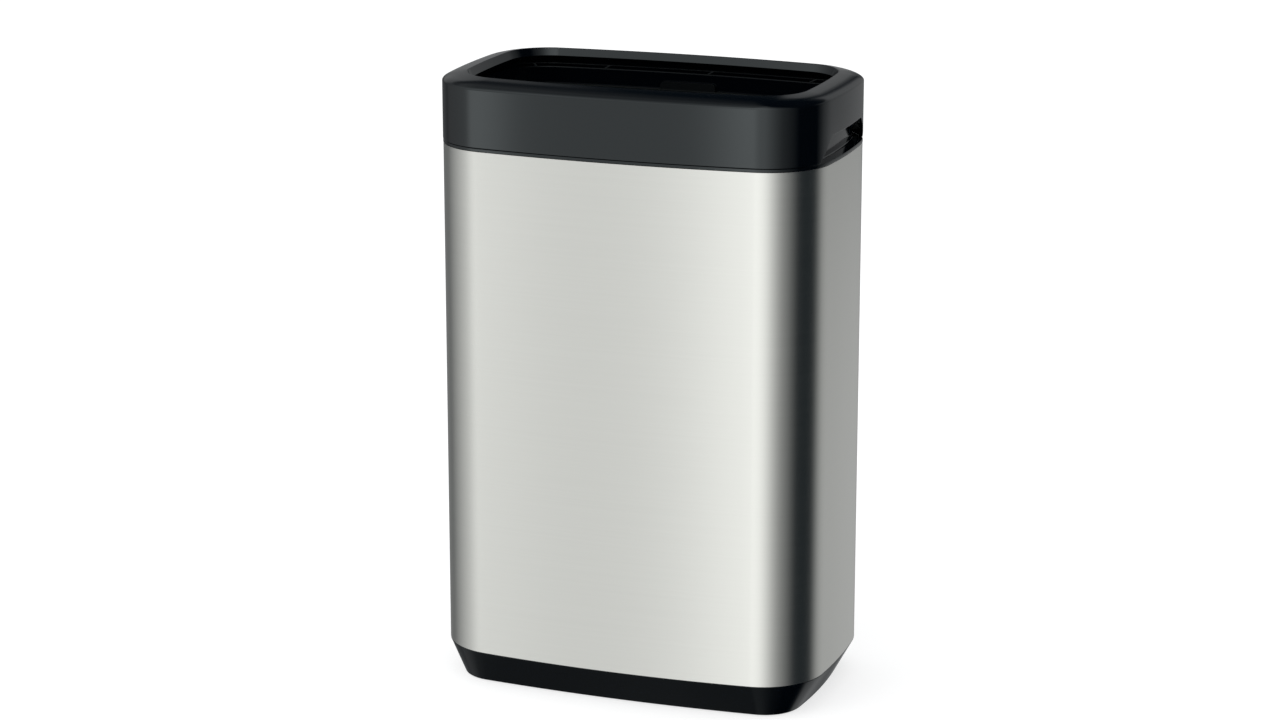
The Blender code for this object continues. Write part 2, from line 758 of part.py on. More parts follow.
def grip_flanges():
    """A flat edge for the fingers along the top of each grip, inside the skirt."""
    bm = bmesh.new()
    low = FRAME_Z + GRIP_HEIGHT
    half = GRIP_TOP_LENGTH / 2
    for x_sign in (-1, 1):
        rows = []
        for depth_inside in (FRAME_WALL - FRAME_PROUD - WELD, FRAME_WALL - FRAME_PROUD + GRIP_FLANGE):
            side = [point for point in inset(BODY, depth_inside)
                    if point.x * x_sign > 0 and abs(point.y) < half]
            rows.append(sorted(side, key=lambda point: point.y))
        strip = rows[0] + rows[1][::-1]
        skin(bm, [level(strip, low), level(strip, low + GRIP_FLANGE_WALL)], closed=False)
    return guide("grip_flanges", bm)


def frame_ribs():
    """Upright webs that stiffen the skirt and centre the frame on the collar's guide wall."""
    bm = bmesh.new()
    lead = FRAME_Z + COLLAR_LIP
    for place in BODY[FRAME_RIB_EVERY // 2::FRAME_RIB_EVERY]:
        beside_grip = abs(place[0].y) < GRIP_LENGTH / 2 and abs(place[1].x) > abs(place[1].y)
        if beside_grip or not clear_of_tabs(place, TAB_WIDTH / 2):
            continue
        add_radial_box(bm, place, FRAME_WALL - FRAME_PROUD - WELD, GUIDE_INSET - SLIDE_CLEARANCE,
                       FRAME_RIB, lead, FRAME_Z + FRAME_RIB_TOP)
    return guide("frame_ribs", bm)


def make_frame(material):
    """The glossy top frame, which lifts off by its two grips."""
    bm = bmesh.new()
    rings = list(zip(*frame_sections()))
    skin(bm, rings, closed=True)
    frame = finish("top_frame", bm, material)
    boolean(frame, frame_ribs(), "UNION")
    boolean(frame, grip_flanges(), "UNION")
    boolean(frame, grip_cutter(), "DIFFERENCE")
    lift_axis(frame, FRAME_Z)


# Fasteners

def screw_profile(length):
    """A pan head screw standing on its head's underside at height nought."""
    return [(SCREW_RADIUS - SCREW_TIP / 2, -length), (SCREW_RADIUS, SCREW_TIP - length), (SCREW_RADIUS, 0),
            (SCREW_HEAD_RADIUS, 0), (SCREW_HEAD_RADIUS, SCREW_HEAD / 2),
            (SCREW_HEAD_RADIUS - SCREW_HEAD / 2, SCREW_HEAD)]


def make_screws(material):
    """Four screws through the collar into the clip nuts and four through the lower tabs."""
    for index, (point, direction) in enumerate(tab_places(), start=1):
        upper = point - direction * TAB_SCREW_INSET
        lower = point - direction * BASE_TAB_SCREW_INSET
        bm = bmesh.new()
        add_turned(bm, screw_profile(SCREW_LENGTH), upper, SHELF_Z + CLEARANCE, SCREW_SIDES)
        finish(f"collar_screw_{index}", bm, material)
        bm = bmesh.new()
        add_turned(bm, screw_profile(SCREW_LENGTH - SHEET - CLEARANCE * 2), lower,
                   SLEEVE_Z + SHEET + CLEARANCE, SCREW_SIDES)
        finish(f"base_screw_{index}", bm, material)


def clip_section():
    """A folded strip that grips both faces of a tab, seen from its side; the fold is at the tab's end."""
    top = SLEEVE_TOP - TAB_DROP
    inner_top = top + CLEARANCE
    inner_low = top - SHEET - CLEARANCE
    fold = TAB_SCREW_INSET + TAB_BEYOND_SCREW + CLEARANCE
    back = fold - CLIP_REACH
    return [(back, inner_top), (fold, inner_top), (fold, inner_low), (back, inner_low),
            (back, inner_low - CLIP_SHEET), (fold + CLIP_SHEET, inner_low - CLIP_SHEET),
            (fold + CLIP_SHEET, inner_top + CLIP_SHEET), (back, inner_top + CLIP_SHEET)]


def make_clip_nuts(material):
    """Spring nuts on the four upper tabs."""
    holes = bmesh.new()
    top = SLEEVE_TOP - TAB_DROP
    for point, direction in tab_places():
        add_screw_hole(holes, top - OVERRUN, top + OVERRUN, point - direction * TAB_SCREW_INSET)
    cutter = guide("clip_nut_holes", holes)
    for index, (point, direction) in enumerate(tab_places(), start=1):
        matrix = radial_matrix(point, direction, 0, 0)
        rows = []
        for across in (-CLIP_WIDTH / 2, CLIP_WIDTH / 2):
            rows.append([matrix @ Vector((distance, across, height)) for distance, height in clip_section()])
        bm = bmesh.new()
        skin(bm, rows, closed=False)
        boolean(finish(f"clip_nut_{index}", bm, material, smooth=False), cutter, "DIFFERENCE")


def main():
    """Clears the scene and makes every piece."""
    for old in list(bpy.data.objects):
        bpy.data.objects.remove(old)
    finishes = materials()
    make_base(finishes["matt"])
    make_feet(finishes["rubber"])
    make_sleeve(finishes["steel"])
    make_collar(finishes["matt"])
    make_ring(finishes["matt"])
    make_frame(finishes["gloss"])
    make_screws(finishes["zinc"])
    make_clip_nuts(finishes["zinc"])


main()
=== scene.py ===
import math

import bmesh
import bpy
from mathutils import Matrix, Vector


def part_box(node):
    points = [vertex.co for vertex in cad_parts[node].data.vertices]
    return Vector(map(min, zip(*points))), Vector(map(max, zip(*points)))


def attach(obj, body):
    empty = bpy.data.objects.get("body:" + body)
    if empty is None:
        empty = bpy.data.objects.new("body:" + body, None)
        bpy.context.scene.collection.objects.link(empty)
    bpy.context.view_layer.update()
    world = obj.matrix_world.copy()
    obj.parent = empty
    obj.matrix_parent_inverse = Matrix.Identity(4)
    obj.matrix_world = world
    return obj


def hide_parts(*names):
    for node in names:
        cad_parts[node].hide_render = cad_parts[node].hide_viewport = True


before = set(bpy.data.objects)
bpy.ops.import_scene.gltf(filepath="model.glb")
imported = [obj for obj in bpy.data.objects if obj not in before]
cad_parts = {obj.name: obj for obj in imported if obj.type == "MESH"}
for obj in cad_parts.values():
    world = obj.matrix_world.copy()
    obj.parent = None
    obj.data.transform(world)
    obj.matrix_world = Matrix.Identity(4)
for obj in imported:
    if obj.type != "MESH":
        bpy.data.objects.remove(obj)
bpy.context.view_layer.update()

# The washroom waste bin's looks: every shell is swept round the bowed outlines that the frame has,
# with the rounded edges, the finishes and the studio of the photograph. Metres, +Z up, front at -Y.

# Levels and overall sizes that the frame gives
SLEEVE_LOW, SLEEVE_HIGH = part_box("body_sleeve")
COLLAR_LOW, COLLAR_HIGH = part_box("top_collar")
TRAY_LOW, TRAY_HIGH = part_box("base_tray")
RING_LOW, RING_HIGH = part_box("bag_ring")
FRAME_LOW, FRAME_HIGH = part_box("top_frame")
HALF_WIDTH = SLEEVE_HIGH.x
HALF_DEPTH = SLEEVE_HIGH.y

# Outline of the steel sleeve, which every other outline follows
FRONT_BOW = 0.0150
SIDE_BOW = 0.0100
CORNER_RADIUS = 0.0630
FRONT_STEPS = 14
CORNER_STEPS = 20
SIDE_STEPS = 8

# Clearance between touching pieces, and how far joined shapes run into each other
CLEARANCE = 0.0003
SLIDE_CLEARANCE = 0.0005
WELD = 0.0004
OVERRUN = 0.0100

# Steel sleeve
SHEET = 0.0008
SHEET_ROUND = 0.0002
SHEET_ROUND_STEPS = 2
LAP_WIDTH = 0.0160
SEAM_WIDTH = 0.0006
SEAM_DEPTH = 0.0003
TAB_SPACING = 0.2100
TAB_WIDTH = 0.0240
TAB_BEYOND_SCREW = 0.0080
TAB_DROP = 0.0014
TAB_SCREW_INSET = 0.0067
TAB_ROUND = 0.0040
TAB_ROUND_STEPS = 6

# Base tray
BASE_TAPER_X = 0.0176
BASE_TAPER_Y = 0.0140
BASE_FRONT_BOW = 0.0098
BASE_SIDE_BOW = 0.0096
BASE_CORNER_RADIUS = 0.0370
BASE_WALL = 0.0028
BASE_ROUND = 0.0012
LEDGE_ROUND = 0.0005
TRAY_FLOOR = 0.0025
TRAY_FLOOR_Z = 0.0200
TRAY_FILLET = 0.0028
TRAY_FILLET_STEPS = 5
UPSTAND_WALL = 0.0022
UPSTAND_ROUND = 0.0009
LONG_RIBS = 3
CROSS_RIBS = 7
BASE_RIB = 0.0022
BASE_RIB_RECESS = 0.0020
BASE_RIB_PITCH_X = 0.0440
BASE_RIB_PITCH_Y = 0.0480
SCREW_BOSS_RADIUS = 0.0050
SCREW_BOSS_SETBACK = 0.0015

# Feet and the bosses that hold them
FOOT_PAD = 0.0034
FOOT_ROUND = 0.0008
FOOT_RADIUS = 0.0100
FOOT_STEM_RADIUS = 0.0037
FOOT_BOSS_RADIUS = 0.0120
FOOT_DIMPLE_SHARE = 0.45
FOOT_DIMPLE = 0.0005

# Collar
COLLAR_LIP = 0.0030
COLLAR_PROUD = 0.0002
COLLAR_WALL = 0.0022
COLLAR_LEAD = 0.0008
COLLAR_ROUND = 0.0006
COLLAR_UNDER_ROUND = 0.0003
GUIDE_INSET = 0.0104
GUIDE_WALL = 0.0024
GUIDE_ROUND = 0.0004
GUIDE_FILLET = 0.0012
SHELF_INSET = 0.0196
SHELF_TURN_DOWN = 0.0100
SHELF_ROUND = 0.0010
GUSSET = 0.0020
GUSSET_HEIGHT = 0.0080
GUSSET_EVERY = 9

# Bag ring
RING_INSET = 0.0143
RING_WALL = 0.0024
RING_BEAD = 0.0010
RING_BEAD_HEIGHT = 0.0030
RING_ROUND = 0.0006
RING_TAB_WIDTH = 0.0570
RING_TAB_RISE = 0.0075
RING_TAB_ROUND = 0.0040

# Top frame
FRAME_PROUD = 0.0004
FRAME_WALL = 0.0026
FRAME_FOOT_ROUND = 0.0006
RIM_INSET_X = 0.0245
RIM_INSET_Y = 0.0215
RIM_FRONT_BOW = 0.0115
RIM_SIDE_BOW = 0.0060
RIM_CORNER_RADIUS = 0.0430
RIM_DROP_FRONT = 0.0092
RIM_DROP_SIDE = 0.0083
RIM_REACH = 1.8
RIM_CREST_ROUND = 0.0010
RIM_LIP = 0.0080
RIM_LIP_DRAFT = 0.0030
RIM_LIP_WALL = 0.0022
RIM_LIP_ROUND = 0.0007
RIM_TOP_WALL = 0.0024
FRAME_RIB = 0.0018
FRAME_RIB_EVERY = 11
FRAME_RIB_TOP = 0.0440
SHOULDER_STEPS = 16
CREST_STEPS = 5

# Hand grips
GRIP_LENGTH = 0.1400
GRIP_TOP_LENGTH = 0.0960
GRIP_HEIGHT = 0.0232
GRIP_CORNER = 0.0050
GRIP_CORNER_STEPS = 8
GRIP_CUT_REACH = 0.0140
GRIP_EDGE_ROUND = 0.0005
GRIP_FLANGE = 0.0060
GRIP_FLANGE_WALL = 0.0020

# Screws and clip nuts
CLIP_NUTS = 4
SCREW_HEAD_RADIUS = 0.0031
SCREW_HEAD = 0.0022
SCREW_CROWN_ANGLES = (20, 40, 60, 75)
SCREW_SHANK_RADIUS = 0.0019
SCREW_LENGTH = 0.0110
SCREW_SLOT = 0.0007
SCREW_SLOT_LENGTH = 0.0034
SCREW_SLOT_DEPTH = 0.0012

# Mesh fineness
ROUND_STEPS = 3
TURNED_SIDES = 40
SMOOTH_ANGLE = math.radians(32)
MERGE = 0.00001

# Levels that follow
COLLAR_Z = SLEEVE_HIGH.z + CLEARANCE
SHELF_Z = COLLAR_Z + COLLAR_LIP
BASE_HEIGHT = SLEEVE_LOW.z - CLEARANCE
TRAY_Z = TRAY_LOW.z
CREST_Z = FRAME_HIGH.z
SKIRT_INSET = SHEET + CLEARANCE
TRAY_TAPER_AT_FLOOR = BASE_TAPER_Y * (BASE_HEIGHT - TRAY_FLOOR_Z) / (BASE_HEIGHT - TRAY_Z)
BASE_TAB_SCREW_INSET = TRAY_TAPER_AT_FLOOR + SCREW_BOSS_SETBACK + SCREW_BOSS_RADIUS

# Camera of the photograph
CAMERA_PLACE = Vector((1.0860, -3.0140, 1.1828))
CAMERA_TARGET = Vector((-0.01165, -0.00425, 0.3173))
CAMERA_LENS = 95.46
CAMERA_SENSOR = 36.0
CAMERA_NEAR = 0.05
CAMERA_FAR = 200.0

# Studio
FLOOR_SIZE = 60.0
FLOOR_GREY = 0.50
FLOOR_GLOW = 0.66
STUDIO_BRIGHTEST = 2.0
WALL_SHADE = (0, 0.005, 0.009)
PLAIN_LIGHT = (0.85, 0.86, 0.87)
WHITE = (1, 1, 1)
LAMP_PLACE = Vector((-1.6, -1.8, 2.8))
LAMP_TARGET = Vector((0, 0, 0.3))
LAMP_SIZE = 2.4
LAMP_WATTS = 22.0

# Finishes: their settings, their patterns as noise to the metre on the three axes, and a tint
COLOUR = "NodeSocketColor"
NUMBER = "NodeSocketFloat"
RANGE = [("Dark", COLOUR), ("Light", COLOUR), ("Smoothest", NUMBER), ("Roughest", NUMBER)]
FINE_LINES = (7.0, 7.0, 2600.0)
FAINT_BANDS = (2.5, 2.5, 420.0)
FINE_SHARE = 0.6
SLOW_CHANGES = (9.0, 9.0, 9.0)
COOL_GLOSS = (0.90, 0.99, 1.00, 1)


# Outlines

def circle_crossing(first, first_radius, second, second_radius):
    """The lower point where two circles cross."""
    apart = second - first
    distance = apart.length
    along = (first_radius ** 2 - second_radius ** 2 + distance ** 2) / (2 * distance)
    across = math.sqrt(first_radius ** 2 - along ** 2)
    foot = first + apart * (along / distance)
    side = Vector((-apart.y, apart.x)) * (across / distance)
    return min(foot + side, foot - side, key=lambda point: point.y)


def direction_angle(vector):
    """The angle of a direction, from +X."""
    return math.atan2(vector.y, vector.x)


def arc(centre, radius, start, end, steps):
    """Points on an arc, with their directions away from its centre."""
    points = []
    for step in range(steps + 1):
        angle = start + (end - start) * step / steps
        direction = Vector((math.cos(angle), math.sin(angle)))
        points.append((centre + direction * radius, direction))
    return points


def bow_radius(half_length, bow):
    """The radius of an arc that rises by bow over twice half_length."""
    return (half_length ** 2 + bow ** 2) / (2 * bow)


def flipped(place, x_sign, y_sign):
    """A point of an outline and its direction, mirrored."""
    return tuple(Vector((vector.x * x_sign, vector.y * y_sign)) for vector in place)


def bowed_outline(half_width, half_depth, front_bow, side_bow, corner_radius):
    """Points and outward directions round a rectangle with bowed sides and round corners."""
    front_radius = bow_radius(half_width, front_bow)
    side_radius = bow_radius(half_depth, side_bow)
    front_centre = Vector((0, front_radius - half_depth))
    side_centre = Vector((half_width - side_radius, 0))
    corner = circle_crossing(front_centre, front_radius - corner_radius,
                             side_centre, side_radius - corner_radius)
    leave_front = direction_angle(corner - front_centre)
    reach_side = direction_angle(corner - side_centre)
    quarter = arc(front_centre, front_radius, -math.pi / 2, leave_front, FRONT_STEPS)
    quarter += arc(corner, corner_radius, leave_front, reach_side, CORNER_STEPS)[1:]
    quarter += arc(side_centre, side_radius, reach_side, 0, SIDE_STEPS)[1:]
    half = quarter + [flipped(place, 1, -1) for place in reversed(quarter[:-1])]
    return half + [flipped(place, -1, 1) for place in reversed(half[1:-1])]


BODY = bowed_outline(HALF_WIDTH, HALF_DEPTH, FRONT_BOW, SIDE_BOW, CORNER_RADIUS)
BASE = bowed_outline(HALF_WIDTH - BASE_TAPER_X, HALF_DEPTH - BASE_TAPER_Y,
                     BASE_FRONT_BOW, BASE_SIDE_BOW, BASE_CORNER_RADIUS)
RIM = bowed_outline(HALF_WIDTH - RIM_INSET_X, HALF_DEPTH - RIM_INSET_Y,
                    RIM_FRONT_BOW, RIM_SIDE_BOW, RIM_CORNER_RADIUS)


def blend(first, second, share):
    """The size at a share of the way from one size to another."""
    return first + (second - first) * share


def inset_row(outline, distance, height):
    """A row of points round an outline, moved inwards, at one height."""
    return [(*(point - direction * distance), height) for point, direction in outline]


def front_place(across, depth_sign):
    """The point and outward direction on the front or back, at a distance from its middle."""
    radius = bow_radius(HALF_WIDTH, FRONT_BOW)
    height = math.sqrt(radius ** 2 - across ** 2)
    point = Vector((across, depth_sign * (HALF_DEPTH - radius + height)))
    return point, Vector((across, depth_sign * height)) / radius


def tab_places():
    """The four places along the front and back where tabs, bosses and screws sit."""
    return [front_place(across * TAB_SPACING / 2, side) for side in (-1, 1) for across in (-1, 1)]


def screw_points(inset):
    """The four screws' points on the plan, at an inset from the wall."""
    return [point - direction * inset for point, direction in tab_places()]


def rounded(corners, steps=ROUND_STEPS):
    """Points of a closed section whose corners, given as inset, height and radius, are rounded."""
    points = []
    befores, afters = corners[-1:] + corners[:-1], corners[1:] + corners[:1]
    for before, (*place, radius), after in zip(befores, corners, afters):
        here = Vector(place)
        if not radius:
            points.append(here)
            continue
        back = (Vector(before[:2]) - here).normalized()
        forth = (Vector(after[:2]) - here).normalized()
        half_angle = back.angle(forth) / 2
        centre = here + (back + forth).normalized() * (radius / math.sin(half_angle))
        start = here + back * (radius / math.tan(half_angle)) - centre
        end = here + forth * (radius / math.tan(half_angle)) - centre
        for step in range(steps + 1):
            points.append(centre + start.lerp(end, step / steps).normalized() * radius)
    return points


# Home is a place on the outline whose inward direction is +X; what repeats is modelled there.
HOME = (Vector((0, 0)), Vector((-1, 0)))


# Modelling by hand, in steps

def active(piece):
    """Makes a piece the only one selected."""
    bpy.ops.object.select_all(action="DESELECT")
    piece.select_set(True)
    bpy.context.view_layer.objects.active = piece


def applied(piece):
    """Leaves a piece at the origin with its place in its mesh."""
    active(piece)
    bpy.ops.object.transform_apply(location=True, rotation=True, scale=True)
    return piece


def smooth(piece):
    """Round faces shade smoothly and edges stay crisp."""
    active(piece)
    bpy.ops.object.shade_smooth_by_angle(angle=SMOOTH_ANGLE)
    return piece


def place_loop(piece, row):
    """Moves the selected loop to a row of points, by each point's number in the row."""
    mesh = bmesh.from_edit_mesh(piece.data)
    number = mesh.verts.layers.int["number"]
    for vertex in mesh.verts:
        if vertex.select:
            vertex.co = row[vertex[number]]
    bmesh.update_edit_mesh(piece.data)


def swept(name, rows, closed=True):
    """A shell: a circle's points go to the first row, and its loop is extruded to each next one.
    A closed section ends where it began, and an open one has its two ends filled."""
    bpy.ops.object.select_all(action="DESELECT")
    bpy.ops.mesh.primitive_circle_add(vertices=len(rows[0]), radius=HALF_WIDTH)
    piece = bpy.context.object
    piece.name = name
    piece.data.name = name
    numbers = piece.data.attributes.new("number", "INT", "POINT")
    for index, item in enumerate(numbers.data):
        item.value = index
    bpy.ops.object.mode_set(mode="EDIT")
    bpy.ops.mesh.select_mode(type="VERT")
    bpy.ops.mesh.select_all(action="SELECT")
    place_loop(piece, rows[0])
    if not closed:
        bpy.ops.mesh.edge_face_add()
    for row in rows[1:] + (rows[:1] if closed else []):
        bpy.ops.mesh.extrude_edges_move()
        place_loop(piece, row)
    if not closed:
        bpy.ops.mesh.edge_face_add()
    bpy.ops.mesh.select_all(action="SELECT")
    bpy.ops.mesh.remove_doubles(threshold=MERGE)
    bpy.ops.mesh.normals_make_consistent(inside=False)
    bpy.ops.object.mode_set(mode="OBJECT")
    piece.data.attributes.remove(piece.data.attributes["number"])
    return smooth(piece)


def swept_section(name, corners):
    """A shell of one rounded section all the way round the body's outline."""
    return swept(name, [inset_row(BODY, inset, height) for inset, height in rounded(corners)])


def turned(name, profile):
    """A round piece about the upright axis, from radius and height pairs."""
    turns = [math.tau * side / TURNED_SIDES for side in range(TURNED_SIDES)]
    rows = [[(radius * math.cos(turn), radius * math.sin(turn), height) for turn in turns]
            for radius, height in profile]
    return swept(name, rows, closed=False)


def radial_matrix(place, distance, height):
    """A frame at a place on the outline whose X runs inwards and Y along the wall."""
    point, direction = place
    centre = point - direction * distance
    turn = Matrix.Rotation(direction_angle(-direction), 4, "Z")
    return Matrix.Translation((centre.x, centre.y, height)) @ turn


def block(name, size, matrix):
    """A bar or web: a cube brought to its size and place."""
    bpy.ops.object.select_all(action="DESELECT")
    bpy.ops.mesh.primitive_cube_add(size=1)
    piece = bpy.context.object
    piece.name = name
    piece.matrix_world = matrix @ Matrix.Diagonal((*size, 1))
    return smooth(applied(piece))


def radial_block(name, place, start, end, width, low, high):
    """A bar that runs inwards from the outline between two insets and two heights."""
    matrix = radial_matrix(place, (start + end) / 2, (low + high) / 2)
    return block(name, (end - start, width, high - low), matrix)


def repeated(model, matrices):
    """Copies of a model, each with its own mesh, one at each place; the model itself goes."""
    copies = []
    for matrix in matrices:
        active(model)
        bpy.ops.object.duplicate()
        copy = bpy.context.object
        copy.matrix_world = matrix
        copies.append(applied(copy))
    bpy.data.objects.remove(model)
    return copies


def along_wall(places):
    """Where a shape modelled at home goes, for places on the outline."""
    return [radial_matrix(place, 0, 0) for place in places]


def standing(points):
    """Where a round shape modelled about the upright axis goes, for points on the plan."""
    return [Matrix.Translation((point.x, point.y, 0)) for point in points]


def joined(name, pieces):
    """Several shapes made one piece."""
    bpy.ops.object.select_all(action="DESELECT")
    for piece in pieces:
        piece.select_set(True)
    bpy.context.view_layer.objects.active = pieces[0]
    bpy.ops.object.join()
    made = bpy.context.object
    made.name = name
    made.data.name = name
    return made


def cut(piece, cutter):
    """Cuts a shape out of a piece."""
    modifier = piece.modifiers.new("cut", "BOOLEAN")
    modifier.operation = "DIFFERENCE"
    modifier.solver = "EXACT"
    modifier.object = cutter
    active(piece)
    bpy.ops.object.modifier_apply(modifier=modifier.name)
    bpy.data.objects.remove(cutter)


def round_edges(piece, chosen, offset, segments):
    """Bevels the edges that chosen picks, from the edge itself and the places of its ends."""
    active(piece)
    bpy.ops.object.mode_set(mode="EDIT")
    bpy.ops.mesh.select_mode(type="EDGE")
    bpy.ops.mesh.select_all(action="DESELECT")
    mesh = bmesh.from_edit_mesh(piece.data)
    for edge in mesh.edges:
        first, second = [vertex.co for vertex in edge.verts]
        edge.select_set(bool(chosen(edge, first, second)))
    bmesh.update_edit_mesh(piece.data)
    bpy.ops.mesh.bevel(offset=offset, segments=segments)
    bpy.ops.object.mode_set(mode="OBJECT")
    return piece


def flattened(piece):
    """Lets the broad faces rule a piece's shading, so that they stay true beside small rounds."""
    modifier = piece.modifiers.new("shading", "WEIGHTED_NORMAL")
    modifier.keep_sharp = True
    active(piece)
    bpy.ops.object.modifier_apply(modifier=modifier.name)


def dress(piece, body, slot, material, *nodes):
    """Gives a finished piece its finish and its body, and hides the CAD nodes that it stands for.
    """
    flattened(piece)
    piece.data.materials.clear()
    piece.data.materials.append(material)
    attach(piece, body)
    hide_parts(*nodes)


# Finishes

def fed(tree, node, inputs):
    """Feeds a node's inputs, by name or number, from sockets or with plain values."""
    for key, value in inputs.items():
        if isinstance(value, bpy.types.NodeSocket):
            tree.links.new(value, node.inputs[key])
        else:
            node.inputs[key].default_value = value
    return node


def node_at(tree, kind, inputs, **settings):
    """A node with its settings and inputs."""
    node = tree.nodes.new(kind)
    for key, value in settings.items():
        setattr(node, key, value)
    return fed(tree, node, inputs)


def maths(tree, operation, *values):
    """The result of a sum on values that are sockets or numbers."""
    return node_at(tree, "ShaderNodeMath", dict(enumerate(values)), operation=operation).outputs[0]


def noise(tree, vector, scale, detail):
    """Soft noise on some coordinates."""
    inputs = {"Vector": vector, "Scale": scale, "Detail": detail}
    return node_at(tree, "ShaderNodeTexNoise", inputs).outputs["Fac"]


def stretched_noise(tree, vector, stretch, detail):
    """Noise on coordinates that are stretched along the three axes."""
    mapping = node_at(tree, "ShaderNodeMapping", {"Vector": vector, "Scale": stretch})
    return noise(tree, mapping.outputs["Vector"], 1.0, detail)


def finish_group(name, settings):
    """An empty group with a finish's settings: its tree, its ends and the piece's own place."""
    tree = bpy.data.node_groups.new(name, "ShaderNodeTree")
    for key, kind in settings:
        tree.interface.new_socket(key, in_out="INPUT", socket_type=kind)
    for key, kind in (("Color", COLOUR), ("Roughness", NUMBER), ("Height", NUMBER)):
        tree.interface.new_socket(key, in_out="OUTPUT", socket_type=kind)
    place = tree.nodes.new("ShaderNodeTexCoord").outputs["Object"]
    return tree, tree.nodes.new("NodeGroupInput").outputs, tree.nodes.new("NodeGroupOutput"), place


def graded(tree, share, given, result, height):
    """Lets a share choose the colour and the roughness of a finish, and gives its height."""
    colour = node_at(tree, "ShaderNodeMix", {
        "Factor": share, "A": given["Dark"], "B": given["Light"],
    }, data_type="RGBA")
    rough = node_at(tree, "ShaderNodeMapRange", {
        "Value": share, "To Min": given["Smoothest"], "To Max": given["Roughest"],
    })
    fed(tree, result, {"Color": colour.outputs["Result"], "Roughness": rough.outputs["Result"],
                       "Height": height})
    return tree


def brushed_grain():
    """Fine lines that run level round the sheet, with longer faint bands among them."""
    tree, given, result, place = finish_group("brushed_grain", RANGE)
    fine = stretched_noise(tree, place, FINE_LINES, detail=3)
    bands = stretched_noise(tree, place, FAINT_BANDS, detail=2)
    faint = maths(tree, "MULTIPLY", bands, 1 - FINE_SHARE)
    share = maths(tree, "MULTIPLY_ADD", fine, FINE_SHARE, faint)
    return graded(tree, share, given, result, fine)


def moulded_skin():
    """A moulding's surface: a very fine grain, and slow changes of gloss as from handling."""
    tree, given, result, place = finish_group("moulded_skin", RANGE + [("Grain", NUMBER)])
    slow = stretched_noise(tree, place, SLOW_CHANGES, detail=4)
    grain = noise(tree, place, given["Grain"], detail=2)
    return graded(tree, slow, given, result, grain)


def finish(name, group, values, constants, strength, depth):
    """A finish whose colour, roughness and relief, of a strength and depth, come from a group."""
    material = bpy.data.materials.new(name)
    material.use_nodes = True
    tree = material.node_tree
    surface = node_at(tree, "ShaderNodeGroup", values, node_tree=group)
    relief = node_at(tree, "ShaderNodeBump", {
        "Height": surface.outputs["Height"], "Strength": strength, "Distance": depth,
    })
    fed(tree, tree.nodes["Principled BSDF"], {
        "Base Color": surface.outputs["Color"], "Roughness": surface.outputs["Roughness"],
        "Normal": relief.outputs["Normal"], **constants,
    })
    return material


def finishes():
    """Every finish of the bin, by name."""
    grain = brushed_grain()
    skin = moulded_skin()
    return {
        "steel": finish("brushed_stainless", grain, {
            "Dark": (0.595, 0.600, 0.568, 1), "Light": (0.651, 0.656, 0.622, 1),
            "Smoothest": 0.27, "Roughest": 0.35,
        }, {"Metallic": 1.0, "Anisotropic": 0.5, "Anisotropic Rotation": 0.25},
            strength=0.06, depth=0.00002),
        "gloss": finish("gloss_black_moulding", skin, {
            "Dark": (0.0006, 0.0012, 0.0024, 1), "Light": (0.0012, 0.0021, 0.0036, 1),
            "Smoothest": 0.08, "Roughest": 0.13, "Grain": 1400.0,
        }, {"IOR": 1.5, "Specular Tint": COOL_GLOSS}, strength=0.04, depth=0.00002),
        "satin": finish("satin_black_moulding", skin, {
            "Dark": (0.0010, 0.0014, 0.0018, 1), "Light": (0.0018, 0.0024, 0.0030, 1),
            "Smoothest": 0.34, "Roughest": 0.46, "Grain": 2200.0,
        }, {"IOR": 1.5, "Specular Tint": COOL_GLOSS, "Specular IOR Level": 0.2},
            strength=0.12, depth=0.00003),
        "rubber": finish("black_rubber", skin, {
            "Dark": (0.018, 0.018, 0.018, 1), "Light": (0.030, 0.030, 0.030, 1),
            "Smoothest": 0.70, "Roughest": 0.85, "Grain": 1600.0,
        }, {"IOR": 1.5}, strength=0.3, depth=0.00005),
        "zinc": finish("bright_zinc", skin, {
            "Dark": (0.50, 0.51, 0.54, 1), "Light": (0.66, 0.67, 0.70, 1),
            "Smoothest": 0.22, "Roughest": 0.38, "Grain": 3000.0,
        }, {"Metallic": 1.0}, strength=0.1, depth=0.00002),
    }


# Steel sleeve

def seamed_outline():
    """The sleeve's places with those of the fine seam line at the back, and its depth at each."""
    edge = LAP_WIDTH / 2
    profile = ((0.5, 0.0), (0.25, SEAM_DEPTH), (-0.25, SEAM_DEPTH), (-0.5, 0.0))
    seam = [(front_place(edge + SEAM_WIDTH * share, 1), depth) for share, depth in profile]
    places = [(place, 0.0) for place in BODY]
    after = next(index for index, (point, direction) in enumerate(BODY)
                 if point.y > 0 and point.x < edge - SEAM_WIDTH)
    return places[:after] + seam + places[after:]


def sleeve_shell():
    """The bowed sheet, with the fine line where its outer layer ends."""
    places = seamed_outline()
    corners = [(0, SLEEVE_LOW.z, SHEET_ROUND), (0, SLEEVE_HIGH.z, SHEET_ROUND),
               (SHEET, SLEEVE_HIGH.z, SHEET_ROUND), (SHEET, SLEEVE_LOW.z, SHEET_ROUND)]
    rows = []
    for inset, height in rounded(corners, SHEET_ROUND_STEPS):
        rows.append([(*(point - direction * (inset + depth * (1 - inset / SHEET))), height)
                     for (point, direction), depth in places])
    return swept("steel_sleeve", rows)


def sleeve_tab(reach, low):
    """A tab bent inwards, with round ends, modelled at home."""
    start = SHEET - WELD
    tab = radial_block("tab", HOME, start, reach, TAB_WIDTH, low, low + SHEET)

    def at_end(edge, first, second):
        upright = abs(first.z - second.z) > SHEET / 2
        return upright and min(first.x, second.x) > (start + reach) / 2

    return round_edges(tab, at_end, TAB_ROUND, TAB_ROUND_STEPS)


